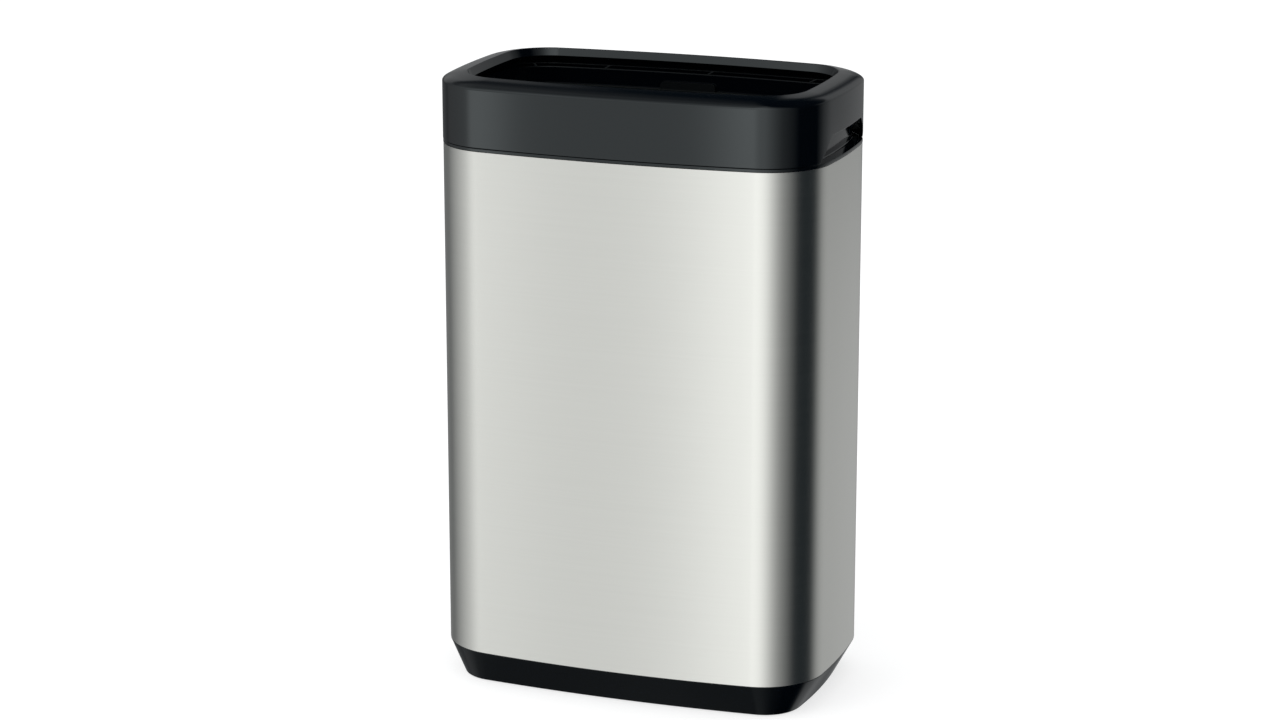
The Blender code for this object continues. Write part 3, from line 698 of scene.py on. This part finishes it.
def notch_cutter(end, low, high):
    """The room that the sleeve's tabs and its lapped seam need in a moulding."""
    play = SLIDE_CLEARANCE * 2
    tab_room = radial_block("notch", HOME, SHEET, end, TAB_WIDTH + play, low, high)
    seam_room = radial_block("notch", front_place(0, 1), SHEET, end, LAP_WIDTH + play, low, high)
    return joined("notches", repeated(tab_room, along_wall(tab_places())) + [seam_room])


def make_sleeve(material):
    """The steel sheet with its eight tabs and the inner layer of the lapped seam."""
    places = along_wall(tab_places())
    parts = [sleeve_shell()]
    for inset, low in ((TAB_SCREW_INSET, SLEEVE_HIGH.z - TAB_DROP - SHEET),
                       (BASE_TAB_SCREW_INSET, SLEEVE_LOW.z)):
        parts += repeated(sleeve_tab(inset + TAB_BEYOND_SCREW, low), places)
    parts.append(radial_block("lap", front_place(0, 1), SHEET - WELD, SHEET * 2, LAP_WIDTH,
                              SLEEVE_LOW.z + SHEET, SLEEVE_HIGH.z - SHEET))
    sleeve = joined("steel_sleeve", parts)
    dress(sleeve, "bin_body", "steel_sleeve", material, "body_sleeve")


# Base tray

def tray_row(inset, height):
    """A row on the tapered skirt, between the base's foot outline and the sleeve's."""
    share = (height - TRAY_Z) / (BASE_HEIGHT - TRAY_Z)
    row = []
    for (foot, foot_direction), (top, top_direction) in zip(BASE, BODY):
        point = (foot - foot_direction * inset).lerp(top - top_direction * inset, share)
        row.append((*point, height))
    return row


def arc_rows(centre_inset, centre_height, radius, start, end, steps=ROUND_STEPS):
    """Inset, or radius, and height pairs on a round, by angles from where the first is least."""
    pairs = []
    for step in range(steps + 1):
        angle = math.radians(start + (end - start) * step / steps)
        pairs.append((centre_inset - radius * math.cos(angle),
                      centre_height + radius * math.sin(angle)))
    return pairs


def tray_shell():
    """The tray, from its hollow's ceiling round its foot, over ledge and upstand, to its floor."""
    ceiling = TRAY_FLOOR_Z - TRAY_FLOOR
    rim_low = TRAY_Z + BASE_ROUND
    pairs = [(BASE_WALL, ceiling)]
    pairs += arc_rows(BASE_WALL - BASE_ROUND, rim_low, BASE_ROUND, 180, 270)
    pairs += arc_rows(BASE_ROUND, rim_low, BASE_ROUND, -90, 0)
    pairs += arc_rows(LEDGE_ROUND, BASE_HEIGHT - LEDGE_ROUND, LEDGE_ROUND, 0, 90)
    rows = [tray_row(inset, height) for inset, height in pairs]
    upstand_top = TRAY_HIGH.z
    inner = SKIRT_INSET + UPSTAND_WALL
    over = [(SKIRT_INSET, BASE_HEIGHT)]
    over += arc_rows(SKIRT_INSET + UPSTAND_ROUND, upstand_top - UPSTAND_ROUND, UPSTAND_ROUND, 0, 90)
    over += arc_rows(inner - UPSTAND_ROUND, upstand_top - UPSTAND_ROUND, UPSTAND_ROUND, 90, 180)
    rows += [inset_row(BODY, inset, height) for inset, height in over]
    rows.append(inset_row(BODY, inner, BASE_HEIGHT))
    fillet = arc_rows(BASE_WALL + TRAY_FILLET, TRAY_FLOOR_Z + TRAY_FILLET, TRAY_FILLET, 0, -90,
                      TRAY_FILLET_STEPS)
    rows += [tray_row(inset, height) for inset, height in fillet]
    return swept("base_tray_shell", rows, closed=False)


def foot_places():
    """The middles of the four feet, as the frame has them, by node name."""
    places = {}
    for side in ("front_left", "front_right", "back_left", "back_right"):
        low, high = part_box("foot_" + side)
        places["foot_" + side] = ((low + high) / 2).xy
    return places


def rib_places(count, pitch):
    """Evenly pitched places about the middle."""
    return [pitch * (index - (count - 1) / 2) for index in range(count)]


def make_tray(material):
    """The moulded tray with the four bosses for its screws."""
    shell = tray_shell()
    cut(shell, notch_cutter(SKIRT_INSET + UPSTAND_WALL + WELD, BASE_HEIGHT + CLEARANCE / 2,
                            TRAY_HIGH.z + OVERRUN))
    radius = SCREW_BOSS_RADIUS
    boss = turned("screw_boss", [(radius, TRAY_FLOOR_Z - TRAY_FLOOR / 2),
                                 (radius, BASE_HEIGHT - UPSTAND_ROUND / 2),
                                 (radius - UPSTAND_ROUND / 2, BASE_HEIGHT)])
    bosses = repeated(boss, standing(screw_points(BASE_TAB_SCREW_INSET)))
    tray = smooth(joined("base_tray_moulding", [shell] + bosses))
    dress(tray, "bin_body", "base_plastic", material, "base_tray")


def tapered_web(half_length, low, high, flare, along_x):
    """A rib across the middle, whose upper edge is longer than its lower one."""
    length, middle = half_length * 2, (low + high) / 2
    size = (length, BASE_RIB, high - low) if along_x else (BASE_RIB, length, high - low)
    web = block("rib", size, Matrix.Translation((0, 0, middle)))
    active(web)
    bpy.ops.object.mode_set(mode="EDIT")
    mesh = bmesh.from_edit_mesh(web.data)
    for vertex in mesh.verts:
        vertex.select_set(vertex.co.z > middle)
    mesh.select_flush(True)
    bmesh.update_edit_mesh(web.data)
    grow = (half_length + flare) / half_length
    bpy.ops.transform.resize(value=(grow, 1, 1) if along_x else (1, grow, 1))
    bpy.ops.object.mode_set(mode="OBJECT")
    return web


def reach_of(row, across, along_x):
    """How far a row of points reaches along one axis at an offset on the other."""
    reach, other = (0, 1) if along_x else (1, 0)
    crossings = []
    for first, second in zip(row, row[1:] + row[:1]):
        start, end = first[other], second[other]
        if min(start, end) <= across <= max(start, end) and start != end:
            share = (across - start) / (end - start)
            crossings.append(blend(first[reach], second[reach], share))
    return max(crossings)


def make_base_ribs(material):
    """Ribs and foot bosses under the tray's floor; each length of rib serves both sides."""
    low = TRAY_Z + BASE_RIB_RECESS
    high = TRAY_FLOOR_Z - TRAY_FLOOR + WELD
    inner = BASE_WALL - WELD
    parts = []
    for along_x, count, pitch in ((False, CROSS_RIBS, BASE_RIB_PITCH_X),
                                  (True, LONG_RIBS, BASE_RIB_PITCH_Y)):
        for offset in rib_places(count, pitch):
            if offset < 0:
                continue
            foot = reach_of(tray_row(inner, low), offset, along_x)
            top = reach_of(tray_row(inner, high), offset, along_x)
            sides = {offset, -offset}
            points = [Vector((0, side)) if along_x else Vector((side, 0)) for side in sorted(sides)]
            parts += repeated(tapered_web(foot, low, high, top - foot, along_x), standing(points))
    seat = FOOT_RADIUS + CLEARANCE
    boss = turned("foot_boss", [(seat, FOOT_PAD + CLEARANCE), (seat, low),
                                (FOOT_BOSS_RADIUS - BASE_ROUND / 2, low),
                                (FOOT_BOSS_RADIUS, low + BASE_ROUND / 2), (FOOT_BOSS_RADIUS, high)])
    parts += repeated(boss, standing(foot_places().values()))
    ribs = smooth(joined("base_tray_ribs", parts))
    dress(ribs, "bin_body", "base_plastic", material, "base_tray")


def make_feet(material):
    """Rubber pads with rounded edges and a shallow dimple under each."""
    dimple = FOOT_RADIUS * FOOT_DIMPLE_SHARE
    profile = [(dimple - FOOT_DIMPLE, FOOT_DIMPLE), (dimple, 0.0)]
    profile += arc_rows(FOOT_RADIUS - FOOT_ROUND, FOOT_ROUND, FOOT_ROUND, 270, 180)
    profile += [(FOOT_RADIUS, FOOT_PAD - FOOT_ROUND / 4), (FOOT_RADIUS - FOOT_ROUND / 4, FOOT_PAD),
                (FOOT_STEM_RADIUS, FOOT_PAD), (FOOT_STEM_RADIUS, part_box("foot_front_left")[1].z)]
    pads = repeated(turned("rubber_pad", profile), standing(foot_places().values()))
    for node, pad in zip(foot_places(), pads):
        pad.name = "rubber_" + node
        dress(pad, "bin_body", "foot_rubber", material, node)


# Collar and bag ring

def away_from_tabs(point, room):
    """True where a place is away from every tab and the lapped seam."""
    spots = [place[0] for place in tab_places()] + [front_place(0, 1)[0]]
    return all((point - spot).length > room for spot in spots)


def make_collar(material):
    """The fixed moulding: lip on the sleeve's edge, skirt inside it, shelf and guide wall."""
    skirt_low = COLLAR_LOW.z
    guide_top = COLLAR_HIGH.z
    guide_inner = GUIDE_INSET + GUIDE_WALL
    shelf_inner = SHELF_INSET - COLLAR_WALL
    corners = [
        (SKIRT_INSET + COLLAR_LEAD, skirt_low, COLLAR_UNDER_ROUND),
        (SKIRT_INSET, (skirt_low + COLLAR_Z) / 2, 0),
        (SKIRT_INSET, COLLAR_Z, 0),
        (-COLLAR_PROUD, COLLAR_Z, COLLAR_UNDER_ROUND),
        (-COLLAR_PROUD, SHELF_Z, COLLAR_ROUND),
        (GUIDE_INSET, SHELF_Z, GUIDE_FILLET),
        (GUIDE_INSET, guide_top, GUIDE_ROUND),
        (guide_inner, guide_top, GUIDE_ROUND),
        (guide_inner, SHELF_Z, GUIDE_FILLET),
        (SHELF_INSET, SHELF_Z, SHELF_ROUND),
        (SHELF_INSET, COLLAR_Z - SHELF_TURN_DOWN, COLLAR_ROUND),
        (shelf_inner, COLLAR_Z - SHELF_TURN_DOWN, COLLAR_ROUND),
        (shelf_inner, COLLAR_Z, 0),
        (SKIRT_INSET + COLLAR_WALL, COLLAR_Z, 0),
        (SKIRT_INSET + COLLAR_WALL, skirt_low, COLLAR_UNDER_ROUND),
    ]
    shell = swept_section("collar_shell", corners)
    inner = SKIRT_INSET + COLLAR_WALL + WELD
    cut(shell, notch_cutter(inner, skirt_low - OVERRUN, COLLAR_Z - CLEARANCE))
    gusset = radial_block("gusset", HOME, inner - WELD * 2, shelf_inner + WELD, GUSSET,
                          COLLAR_Z - GUSSET_HEIGHT, COLLAR_Z + WELD)
    places = [place for place in BODY[GUSSET_EVERY // 2::GUSSET_EVERY]
              if away_from_tabs(place[0], TAB_WIDTH)]
    parts = [shell] + repeated(gusset, along_wall(places))
    collar = smooth(joined("collar_moulding", parts))
    dress(collar, "bin_body", "collar_plastic", material, "top_collar")


def make_ring(material):
    """The loose ring with the bead that the bag is folded over, and its finger tab."""
    low = RING_LOW.z
    top = RING_HIGH.z - RING_TAB_RISE
    bead_low = top - RING_BEAD_HEIGHT
    inner = RING_INSET + RING_WALL
    corners = [
        (RING_INSET, low, RING_ROUND),
        (RING_INSET, bead_low, RING_ROUND),
        (RING_INSET - RING_BEAD, bead_low + RING_BEAD, RING_ROUND),
        (RING_INSET - RING_BEAD, top, RING_ROUND),
        (inner, top, RING_ROUND),
        (inner, low, RING_ROUND),
    ]
    shell = swept_section("ring_shell", corners)
    tab = radial_block("tab", front_place(0, 1), RING_INSET + WELD, inner - WELD, RING_TAB_WIDTH,
                       bead_low, RING_HIGH.z)

    def above_ring(edge, first, second):
        inwards = abs(first.y - second.y) > RING_WALL / 4
        return inwards and min(first.z, second.z) > top

    round_edges(tab, above_ring, RING_TAB_ROUND, TAB_ROUND_STEPS)
    ring = smooth(joined("bag_ring_moulding", [shell, tab]))
    dress(ring, "lift_out_ring", "ring_plastic", material, "bag_ring")


# Top frame

def front_share(direction):
    """Nought on the sides, one on the front and back, and a smooth change at the corners."""
    share = abs(direction.y)
    return share * share * (3 - 2 * share)


def shoulder(width, drop):
    """The soft shoulder, on an ellipse from the skirt's wall up to the crest's round."""
    reach = width * RIM_REACH
    end = math.acos(1 - (width - RIM_CREST_ROUND) / reach)
    rise = drop / math.sin(end)
    steepest = math.atan(math.tan(end) * reach / rise)
    pairs = []
    for step in range(SHOULDER_STEPS):
        turn = math.atan(math.tan(steepest * step / SHOULDER_STEPS) * rise / reach)
        pairs.append((reach * (1 - math.cos(turn)), CREST_Z - drop + rise * math.sin(turn)))
    return pairs


def rim_section(outer, crest, direction):
    """The frame's section at one place, from the skirt's foot over the top and back."""
    across = crest - outer
    width = across.length
    along = across / width
    drop = blend(RIM_DROP_SIDE, RIM_DROP_FRONT, front_share(direction))
    foot = FRAME_LOW.z
    pairs = arc_rows(FRAME_FOOT_ROUND, foot + FRAME_FOOT_ROUND, FRAME_FOOT_ROUND, -90, 0)
    pairs += shoulder(width, drop)
    pairs += arc_rows(width - RIM_CREST_ROUND, CREST_Z - RIM_CREST_ROUND, RIM_CREST_ROUND, 90, 180,
                      CREST_STEPS)
    lip_low = CREST_Z - RIM_LIP
    lip = width + RIM_LIP_DRAFT
    pairs += arc_rows(lip - RIM_LIP_ROUND, lip_low + RIM_LIP_ROUND, RIM_LIP_ROUND, 180, 270)
    pairs.append((lip - RIM_LIP_WALL, lip_low))
    pairs.append((width - RIM_LIP_WALL, CREST_Z - RIM_TOP_WALL - RIM_CREST_ROUND))
    under = CREST_Z - drop * (1 - RIM_LIP_WALL / width) - RIM_TOP_WALL
    pairs.append((FRAME_WALL, min(under, CREST_Z - drop)))
    pairs.append((FRAME_WALL, foot))
    return [(*(outer + along * distance), height) for distance, height in pairs]


def frame_shell():
    """The frame's moulding, whose section changes from the front to the sides."""
    sections = [rim_section(point + direction * FRAME_PROUD, crest[0], direction)
                for (point, direction), crest in zip(BODY, RIM)]
    return swept("frame_shell", [list(row) for row in zip(*sections)])


def grip_outline():
    """The hand grip's outline: a trapezium with round upper corners."""
    foot = FRAME_LOW.z - OVERRUN
    top = FRAME_LOW.z + GRIP_HEIGHT
    spread = (GRIP_LENGTH - GRIP_TOP_LENGTH) / 2
    slant = math.atan2(GRIP_HEIGHT, spread)
    low = GRIP_LENGTH / 2 + OVERRUN / math.tan(slant)
    setback = GRIP_CORNER * math.tan(slant / 2)
    centre = Vector((GRIP_TOP_LENGTH / 2 - setback, top - GRIP_CORNER))
    bend = arc(centre, GRIP_CORNER, math.pi / 2 - slant, math.pi / 2, GRIP_CORNER_STEPS)
    right = [Vector((low, foot))] + [point for point, direction in bend]
    return right + [Vector((-point.x, point.y)) for point in reversed(right)]


def grip_cutter():
    """The space of the right grip: its outline as a flat face, extruded through the skirt."""
    outline = grip_outline()
    bpy.ops.object.select_all(action="DESELECT")
    bpy.ops.mesh.primitive_circle_add(vertices=len(outline), fill_type="NGON")
    cutter = bpy.context.object
    for vertex, point in zip(cutter.data.vertices, outline):
        vertex.co = (HALF_WIDTH - GRIP_CUT_REACH, point.x, point.y)
    bpy.ops.object.mode_set(mode="EDIT")
    bpy.ops.mesh.select_all(action="SELECT")
    reach = GRIP_CUT_REACH + OVERRUN
    bpy.ops.mesh.extrude_region_move(TRANSFORM_OT_translate={"value": (reach, 0, 0)})
    bpy.ops.mesh.select_all(action="SELECT")
    bpy.ops.mesh.normals_make_consistent(inside=False)
    bpy.ops.object.mode_set(mode="OBJECT")
    return cutter


def on_grip_edge(edge, first, second):
    """True for the edges that the two grips' cuts left in the skirt."""
    for end in (first, second):
        on_side = abs(end.x) > HALF_WIDTH - GRIP_CUT_REACH and abs(end.y) < GRIP_LENGTH / 2
        in_grip = CLEARANCE < end.z - FRAME_LOW.z < GRIP_HEIGHT + CLEARANCE
        if not (on_side and in_grip):
            return False
    return len(edge.link_faces) == 2 and edge.calc_face_angle() > SMOOTH_ANGLE * 2


def grip_flange():
    """The flat edge for the fingers along the top of the right grip, inside the skirt."""
    low = FRAME_LOW.z + GRIP_HEIGHT
    half = GRIP_TOP_LENGTH / 2
    outer = FRAME_WALL - FRAME_PROUD - WELD
    inner = FRAME_WALL - FRAME_PROUD + GRIP_FLANGE
    side = sorted((place for place in BODY if place[0].x > 0 and abs(place[0].y) < half),
                  key=lambda place: place[0].y)
    strip = [point - direction * outer for point, direction in side]
    strip += [point - direction * inner for point, direction in reversed(side)]
    rows = [[(*point, height) for point in strip] for height in (low, low + GRIP_FLANGE_WALL)]
    return swept("grip_flange", rows, closed=False)


def make_frame(material):
    """The glossy lift-off frame with its hand grips, finger flanges and ribs."""
    right_and_left = [Matrix.Identity(4), Matrix.Rotation(math.pi, 4, "Z")]
    shell = frame_shell()
    for cutter in repeated(grip_cutter(), right_and_left):
        cut(shell, cutter)
    round_edges(shell, on_grip_edge, GRIP_EDGE_ROUND, ROUND_STEPS)
    parts = [smooth(shell)] + repeated(grip_flange(), right_and_left)
    moulding = joined("top_frame_moulding", parts)
    dress(moulding, "lift_off_frame", "frame_plastic", material, "top_frame")
    web = radial_block("rib", HOME, FRAME_WALL - FRAME_PROUD - WELD, GUIDE_INSET - SLIDE_CLEARANCE,
                       FRAME_RIB, FRAME_LOW.z + COLLAR_LIP, FRAME_LOW.z + FRAME_RIB_TOP)
    places = []
    for point, direction in BODY[FRAME_RIB_EVERY // 2::FRAME_RIB_EVERY]:
        beside_grip = abs(point.y) < GRIP_LENGTH / 2 and abs(direction.x) > abs(direction.y)
        if not beside_grip and away_from_tabs(point, TAB_WIDTH / 2):
            places.append((point, direction))
    ribs = joined("top_frame_ribs", repeated(web, along_wall(places)))
    dress(ribs, "lift_off_frame", "frame_plastic", material, "top_frame")


# Fasteners

def screw(seat, length):
    """A pan head screw with a cross recess, about the upright axis."""
    crown = [(SCREW_HEAD_RADIUS * math.cos(math.radians(angle)),
              seat + SCREW_HEAD * math.sin(math.radians(angle))) for angle in SCREW_CROWN_ANGLES]
    profile = [(SCREW_SHANK_RADIUS / 2, seat - length),
               (SCREW_SHANK_RADIUS, seat - length + SCREW_SHANK_RADIUS),
               (SCREW_SHANK_RADIUS, seat), (SCREW_HEAD_RADIUS, seat)] + crown
    made = turned("screw", profile)
    top = Matrix.Translation((0, 0, seat + SCREW_HEAD))
    slot = block("slot", (SCREW_SLOT_LENGTH, SCREW_SLOT, SCREW_SLOT_DEPTH * 2), top)
    for arm in repeated(slot, [Matrix.Identity(4), Matrix.Rotation(math.pi / 2, 4, "Z")]):
        cut(made, arm)
    return smooth(made)


def make_screws(material):
    """The collar's four screws and the four in the sleeve's lower tabs."""
    kinds = [("collar_screw", TAB_SCREW_INSET, SHELF_Z + CLEARANCE, SCREW_LENGTH),
             ("base_screw", BASE_TAB_SCREW_INSET, SLEEVE_LOW.z + SHEET + CLEARANCE,
              SCREW_LENGTH - SHEET)]
    for kind, inset, seat, length in kinds:
        copies = repeated(screw(seat, length), standing(screw_points(inset)))
        for index, made in enumerate(copies, start=1):
            node = f"{kind}_{index}"
            made.name = "steel_" + node
            dress(made, "bin_body", "zinc_fasteners", material, node)


def finish_clip_nuts(material):
    """The clip nuts keep the frame's own solids, in bright zinc."""
    for index in range(1, CLIP_NUTS + 1):
        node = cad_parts[f"clip_nut_{index}"]
        node.data.materials.clear()
        node.data.materials.append(material)


# Studio

def ramp(tree, value, stops):
    """A colour ramp of greys, from places and brightnesses."""
    node = node_at(tree, "ShaderNodeValToRGB", {"Fac": value})
    elements = node.color_ramp.elements
    while len(elements) > 1:
        elements.remove(elements[-1])
    elements[0].position = stops[0][0]
    elements[0].color = (stops[0][1],) * 3 + (1,)
    for position, brightness in stops[1:]:
        elements.new(position).color = (brightness,) * 3 + (1,)
    return node.outputs["Color"]


# What the bin's gloss mirrors, in layers. Each has brightnesses by compass angle, where nought is
# the front, +90 the right side and -90 the left, and then factors by height above the horizon.
LAYERS = [
    # The wall in front
    ([(-180, 0), (-140, 0), (-125, 0.08), (-112, 0.14), (-105, 0.26), (-95, 0.37), (-85, 0.49),
      (-75, 0.62), (-65, 0.74), (-55, 0.89), (-45, 1.02), (-34, 1.08), (-30, 0.96), (-24, 0.91),
      (-13, 0.97), (-9.5, 1.28), (-6, 1.56), (4, 1.52), (14, 1.4), (24, 1.02), (34, 0.66),
      (44, 0.38), (54, 0.25), (64, 0.13), (74, 0), (106, 0), (180, 0)],
     [(-90, 0.6), (-72, 0.6), (-65, 0.16), (-60, 0.12), (-55, 0.12), (-50, 0.21), (-47, 0.25),
      (-42, 0.6), (-36, 1), (10, 1), (22, 1.12), (29, 1.25), (41, 1.05), (50, 0.85), (60, 0.66),
      (70, 0.53), (90, 0.42)]),
    # Soft boxes in front of it
    ([(-180, 0), (-80, 0), (-65, 0.03), (-58, 0.1), (-53.6, 0.42), (-47, 0.92), (-36, 1.02),
      (-34, 1.02), (-32.5, 0.68), (-31, 0.25), (-29, 0.08), (-11, 0.04), (-9, 0.3), (-7, 0.74),
      (-4, 0.62), (2, 0.16), (6, 0), (180, 0)],
     [(-90, 0), (-13.5, 0), (-12.2, 1), (-9.8, 1), (-8, 0), (90, 0)]),
    # The wall behind
    ([(-180, 0.85), (-177.5, 0.7), (-175.5, 0.5), (-173.5, 0.33), (-168, 0.33), (-166, 0.8),
      (-160, 0.85), (-152, 0.7), (-145, 0.45), (-128, 0.25), (-112, 0), (111, 0), (118.5, 0.33),
      (130, 0.88), (143, 1.05), (155, 0.97), (170, 1), (180, 0.85)],
     [(-90, 0.45), (-72, 0.45), (-62, 0.05), (-49, 0.06), (-46.5, 0.45), (-38, 0.42), (-31, 0.3),
      (-27, 0.32), (-22, 0.56), (-12.4, 0.6), (-11.4, 0.29), (0, 0.33), (8, 0.34), (11, 0),
      (90, 0)]),
    # Its upper part
    ([(-180, 0.31), (-176, 0.26), (-173.5, 0.1), (-171.8, 0.03), (-170.6, 0.08), (-169.2, 0.2),
      (-167.6, 0.28), (-166.2, 0.33), (-165.4, 0.18), (-164.5, 0.02), (-156, 0.02), (-154.8, 0.12),
      (-154, 0.24), (-150, 0.32), (-146, 0.38), (-131, 0.33), (-112, 0.06), (-100, 0), (106, 0),
      (124, 0.23), (143, 0.3), (156, 0.33), (170, 0.37), (180, 0.31)],
     [(-90, 0), (8, 0), (11, 1), (28, 1), (30, 0.9), (32.5, 0.3), (36, 0.14), (42, 0), (90, 0)]),
    # The ceiling
    ([(-180, 0), (-158, 0), (-152, 0.06), (-145, 0.1), (-136, 0.18), (-122, 0.22), (-105, 0.15),
      (-90, 0.05), (-75, 0), (180, 0)],
     [(-90, 0), (36, 0), (45, 1), (75, 1), (90, 0.5)]),
]


def mirrored_studio(tree, around, upward):
    """The brightness that gloss mirrors, from the compass angle and the height."""
    total = 0.0
    for by_angle, by_height in LAYERS:
        angles = ramp(tree, around, [(angle / 360 + 0.5, value / STUDIO_BRIGHTEST)
                                     for angle, value in by_angle])
        heights = ramp(tree, upward, [(angle / 180 + 0.5, value) for angle, value in by_height])
        total = maths(tree, "ADD", maths(tree, "MULTIPLY", angles, heights), total)
    return total


def plain_shader(tree, kind, colour):
    """A shader of one plain colour."""
    return node_at(tree, kind, {"Color": (*colour, 1)}).outputs[0]


def added(tree, first, second):
    """Two shaders on top of each other."""
    return node_at(tree, "ShaderNodeAddShader", {0: first, 1: second}).outputs[0]


def chosen_by_ray(tree, ray, others, these):
    """One shader for the rays of a kind and another for the rest."""
    path = tree.nodes.new("ShaderNodeLightPath")
    inputs = {"Fac": path.outputs[ray], 1: others, 2: these}
    return node_at(tree, "ShaderNodeMixShader", inputs).outputs[0]


def make_world():
    """White behind the bin, plain light on it, and the studio's walls in its reflections."""
    world = bpy.data.worlds.new("studio")
    bpy.context.scene.world = world
    world.use_nodes = True
    tree = world.node_tree
    tree.nodes.clear()
    place = tree.nodes.new("ShaderNodeTexCoord").outputs["Generated"]
    way = node_at(tree, "ShaderNodeSeparateXYZ", {0: place}).outputs
    compass = maths(tree, "ARCTAN2", way["X"], maths(tree, "MULTIPLY", way["Y"], -1.0))
    rise = maths(tree, "ARCSINE", way["Z"])
    around = maths(tree, "MULTIPLY_ADD", compass, 1 / math.tau, 0.5)
    upward = maths(tree, "MULTIPLY_ADD", rise, 1 / math.pi, 0.5)
    mirrored = node_at(tree, "ShaderNodeBackground", {
        "Color": mirrored_studio(tree, around, upward), "Strength": STUDIO_BRIGHTEST,
    }).outputs[0]
    walls = added(tree, mirrored, plain_shader(tree, "ShaderNodeBackground", WALL_SHADE))
    plain = plain_shader(tree, "ShaderNodeBackground", PLAIN_LIGHT)
    behind = plain_shader(tree, "ShaderNodeBackground", WHITE)
    seen = chosen_by_ray(tree, "Is Glossy Ray", plain, walls)
    seen = chosen_by_ray(tree, "Is Camera Ray", seen, behind)
    node_at(tree, "ShaderNodeOutputWorld", {"Surface": seen})


def make_floor():
    """A pale floor that keeps the bin's soft shadow and lets its gloss see the studio's walls."""
    bpy.ops.object.select_all(action="DESELECT")
    bpy.ops.mesh.primitive_plane_add(size=FLOOR_SIZE)
    floor = bpy.context.object
    floor.name = "studio_floor"
    material = bpy.data.materials.new("studio_floor")
    material.use_nodes = True
    tree = material.node_tree
    tree.nodes.clear()
    matt = plain_shader(tree, "ShaderNodeBsdfDiffuse", (FLOOR_GREY,) * 3)
    shown = added(tree, matt, plain_shader(tree, "ShaderNodeEmission", (FLOOR_GLOW,) * 3))
    seen = chosen_by_ray(tree, "Is Camera Ray", matt, shown)
    clear = tree.nodes.new("ShaderNodeBsdfTransparent").outputs[0]
    seen = chosen_by_ray(tree, "Is Glossy Ray", seen, clear)
    node_at(tree, "ShaderNodeOutputMaterial", {"Surface": seen})
    floor.data.materials.append(material)


def aimed(name, data, place, target):
    """A camera or lamp at a place, turned to a target."""
    holder = bpy.data.objects.new(name, data)
    holder.location = place
    holder.rotation_mode = "QUATERNION"
    holder.rotation_quaternion = (place - target).to_track_quat("Z", "Y")
    bpy.context.scene.collection.objects.link(holder)
    return holder


def make_lamp():
    """One large soft lamp above the front left, which gives the floor shadow its direction."""
    lamp = bpy.data.lights.new("soft_lamp", "AREA")
    lamp.shape = "SQUARE"
    lamp.size = LAMP_SIZE
    lamp.energy = LAMP_WATTS
    aimed("soft_lamp", lamp, LAMP_PLACE, LAMP_TARGET).visible_glossy = False


def make_camera():
    """The photograph's camera."""
    camera = bpy.data.cameras.new("photo_camera")
    camera.lens = CAMERA_LENS
    camera.sensor_width = CAMERA_SENSOR
    camera.sensor_fit = "HORIZONTAL"
    camera.clip_start = CAMERA_NEAR
    camera.clip_end = CAMERA_FAR
    bpy.context.scene.camera = aimed("photo_camera", camera, CAMERA_PLACE, CAMERA_TARGET)


def main():
    """The camera and studio, then every piece of the bin from the floor upwards."""
    bpy.context.scene.view_settings.view_transform = "Standard"
    make_camera()
    make_world()
    make_floor()
    make_lamp()
    looks = finishes()
    make_feet(looks["rubber"])
    make_tray(looks["gloss"])
    make_base_ribs(looks["satin"])
    make_sleeve(looks["steel"])
    make_collar(looks["gloss"])
    make_ring(looks["satin"])
    make_frame(looks["gloss"])
    make_screws(looks["zinc"])
    finish_clip_nuts(looks["zinc"])


main()
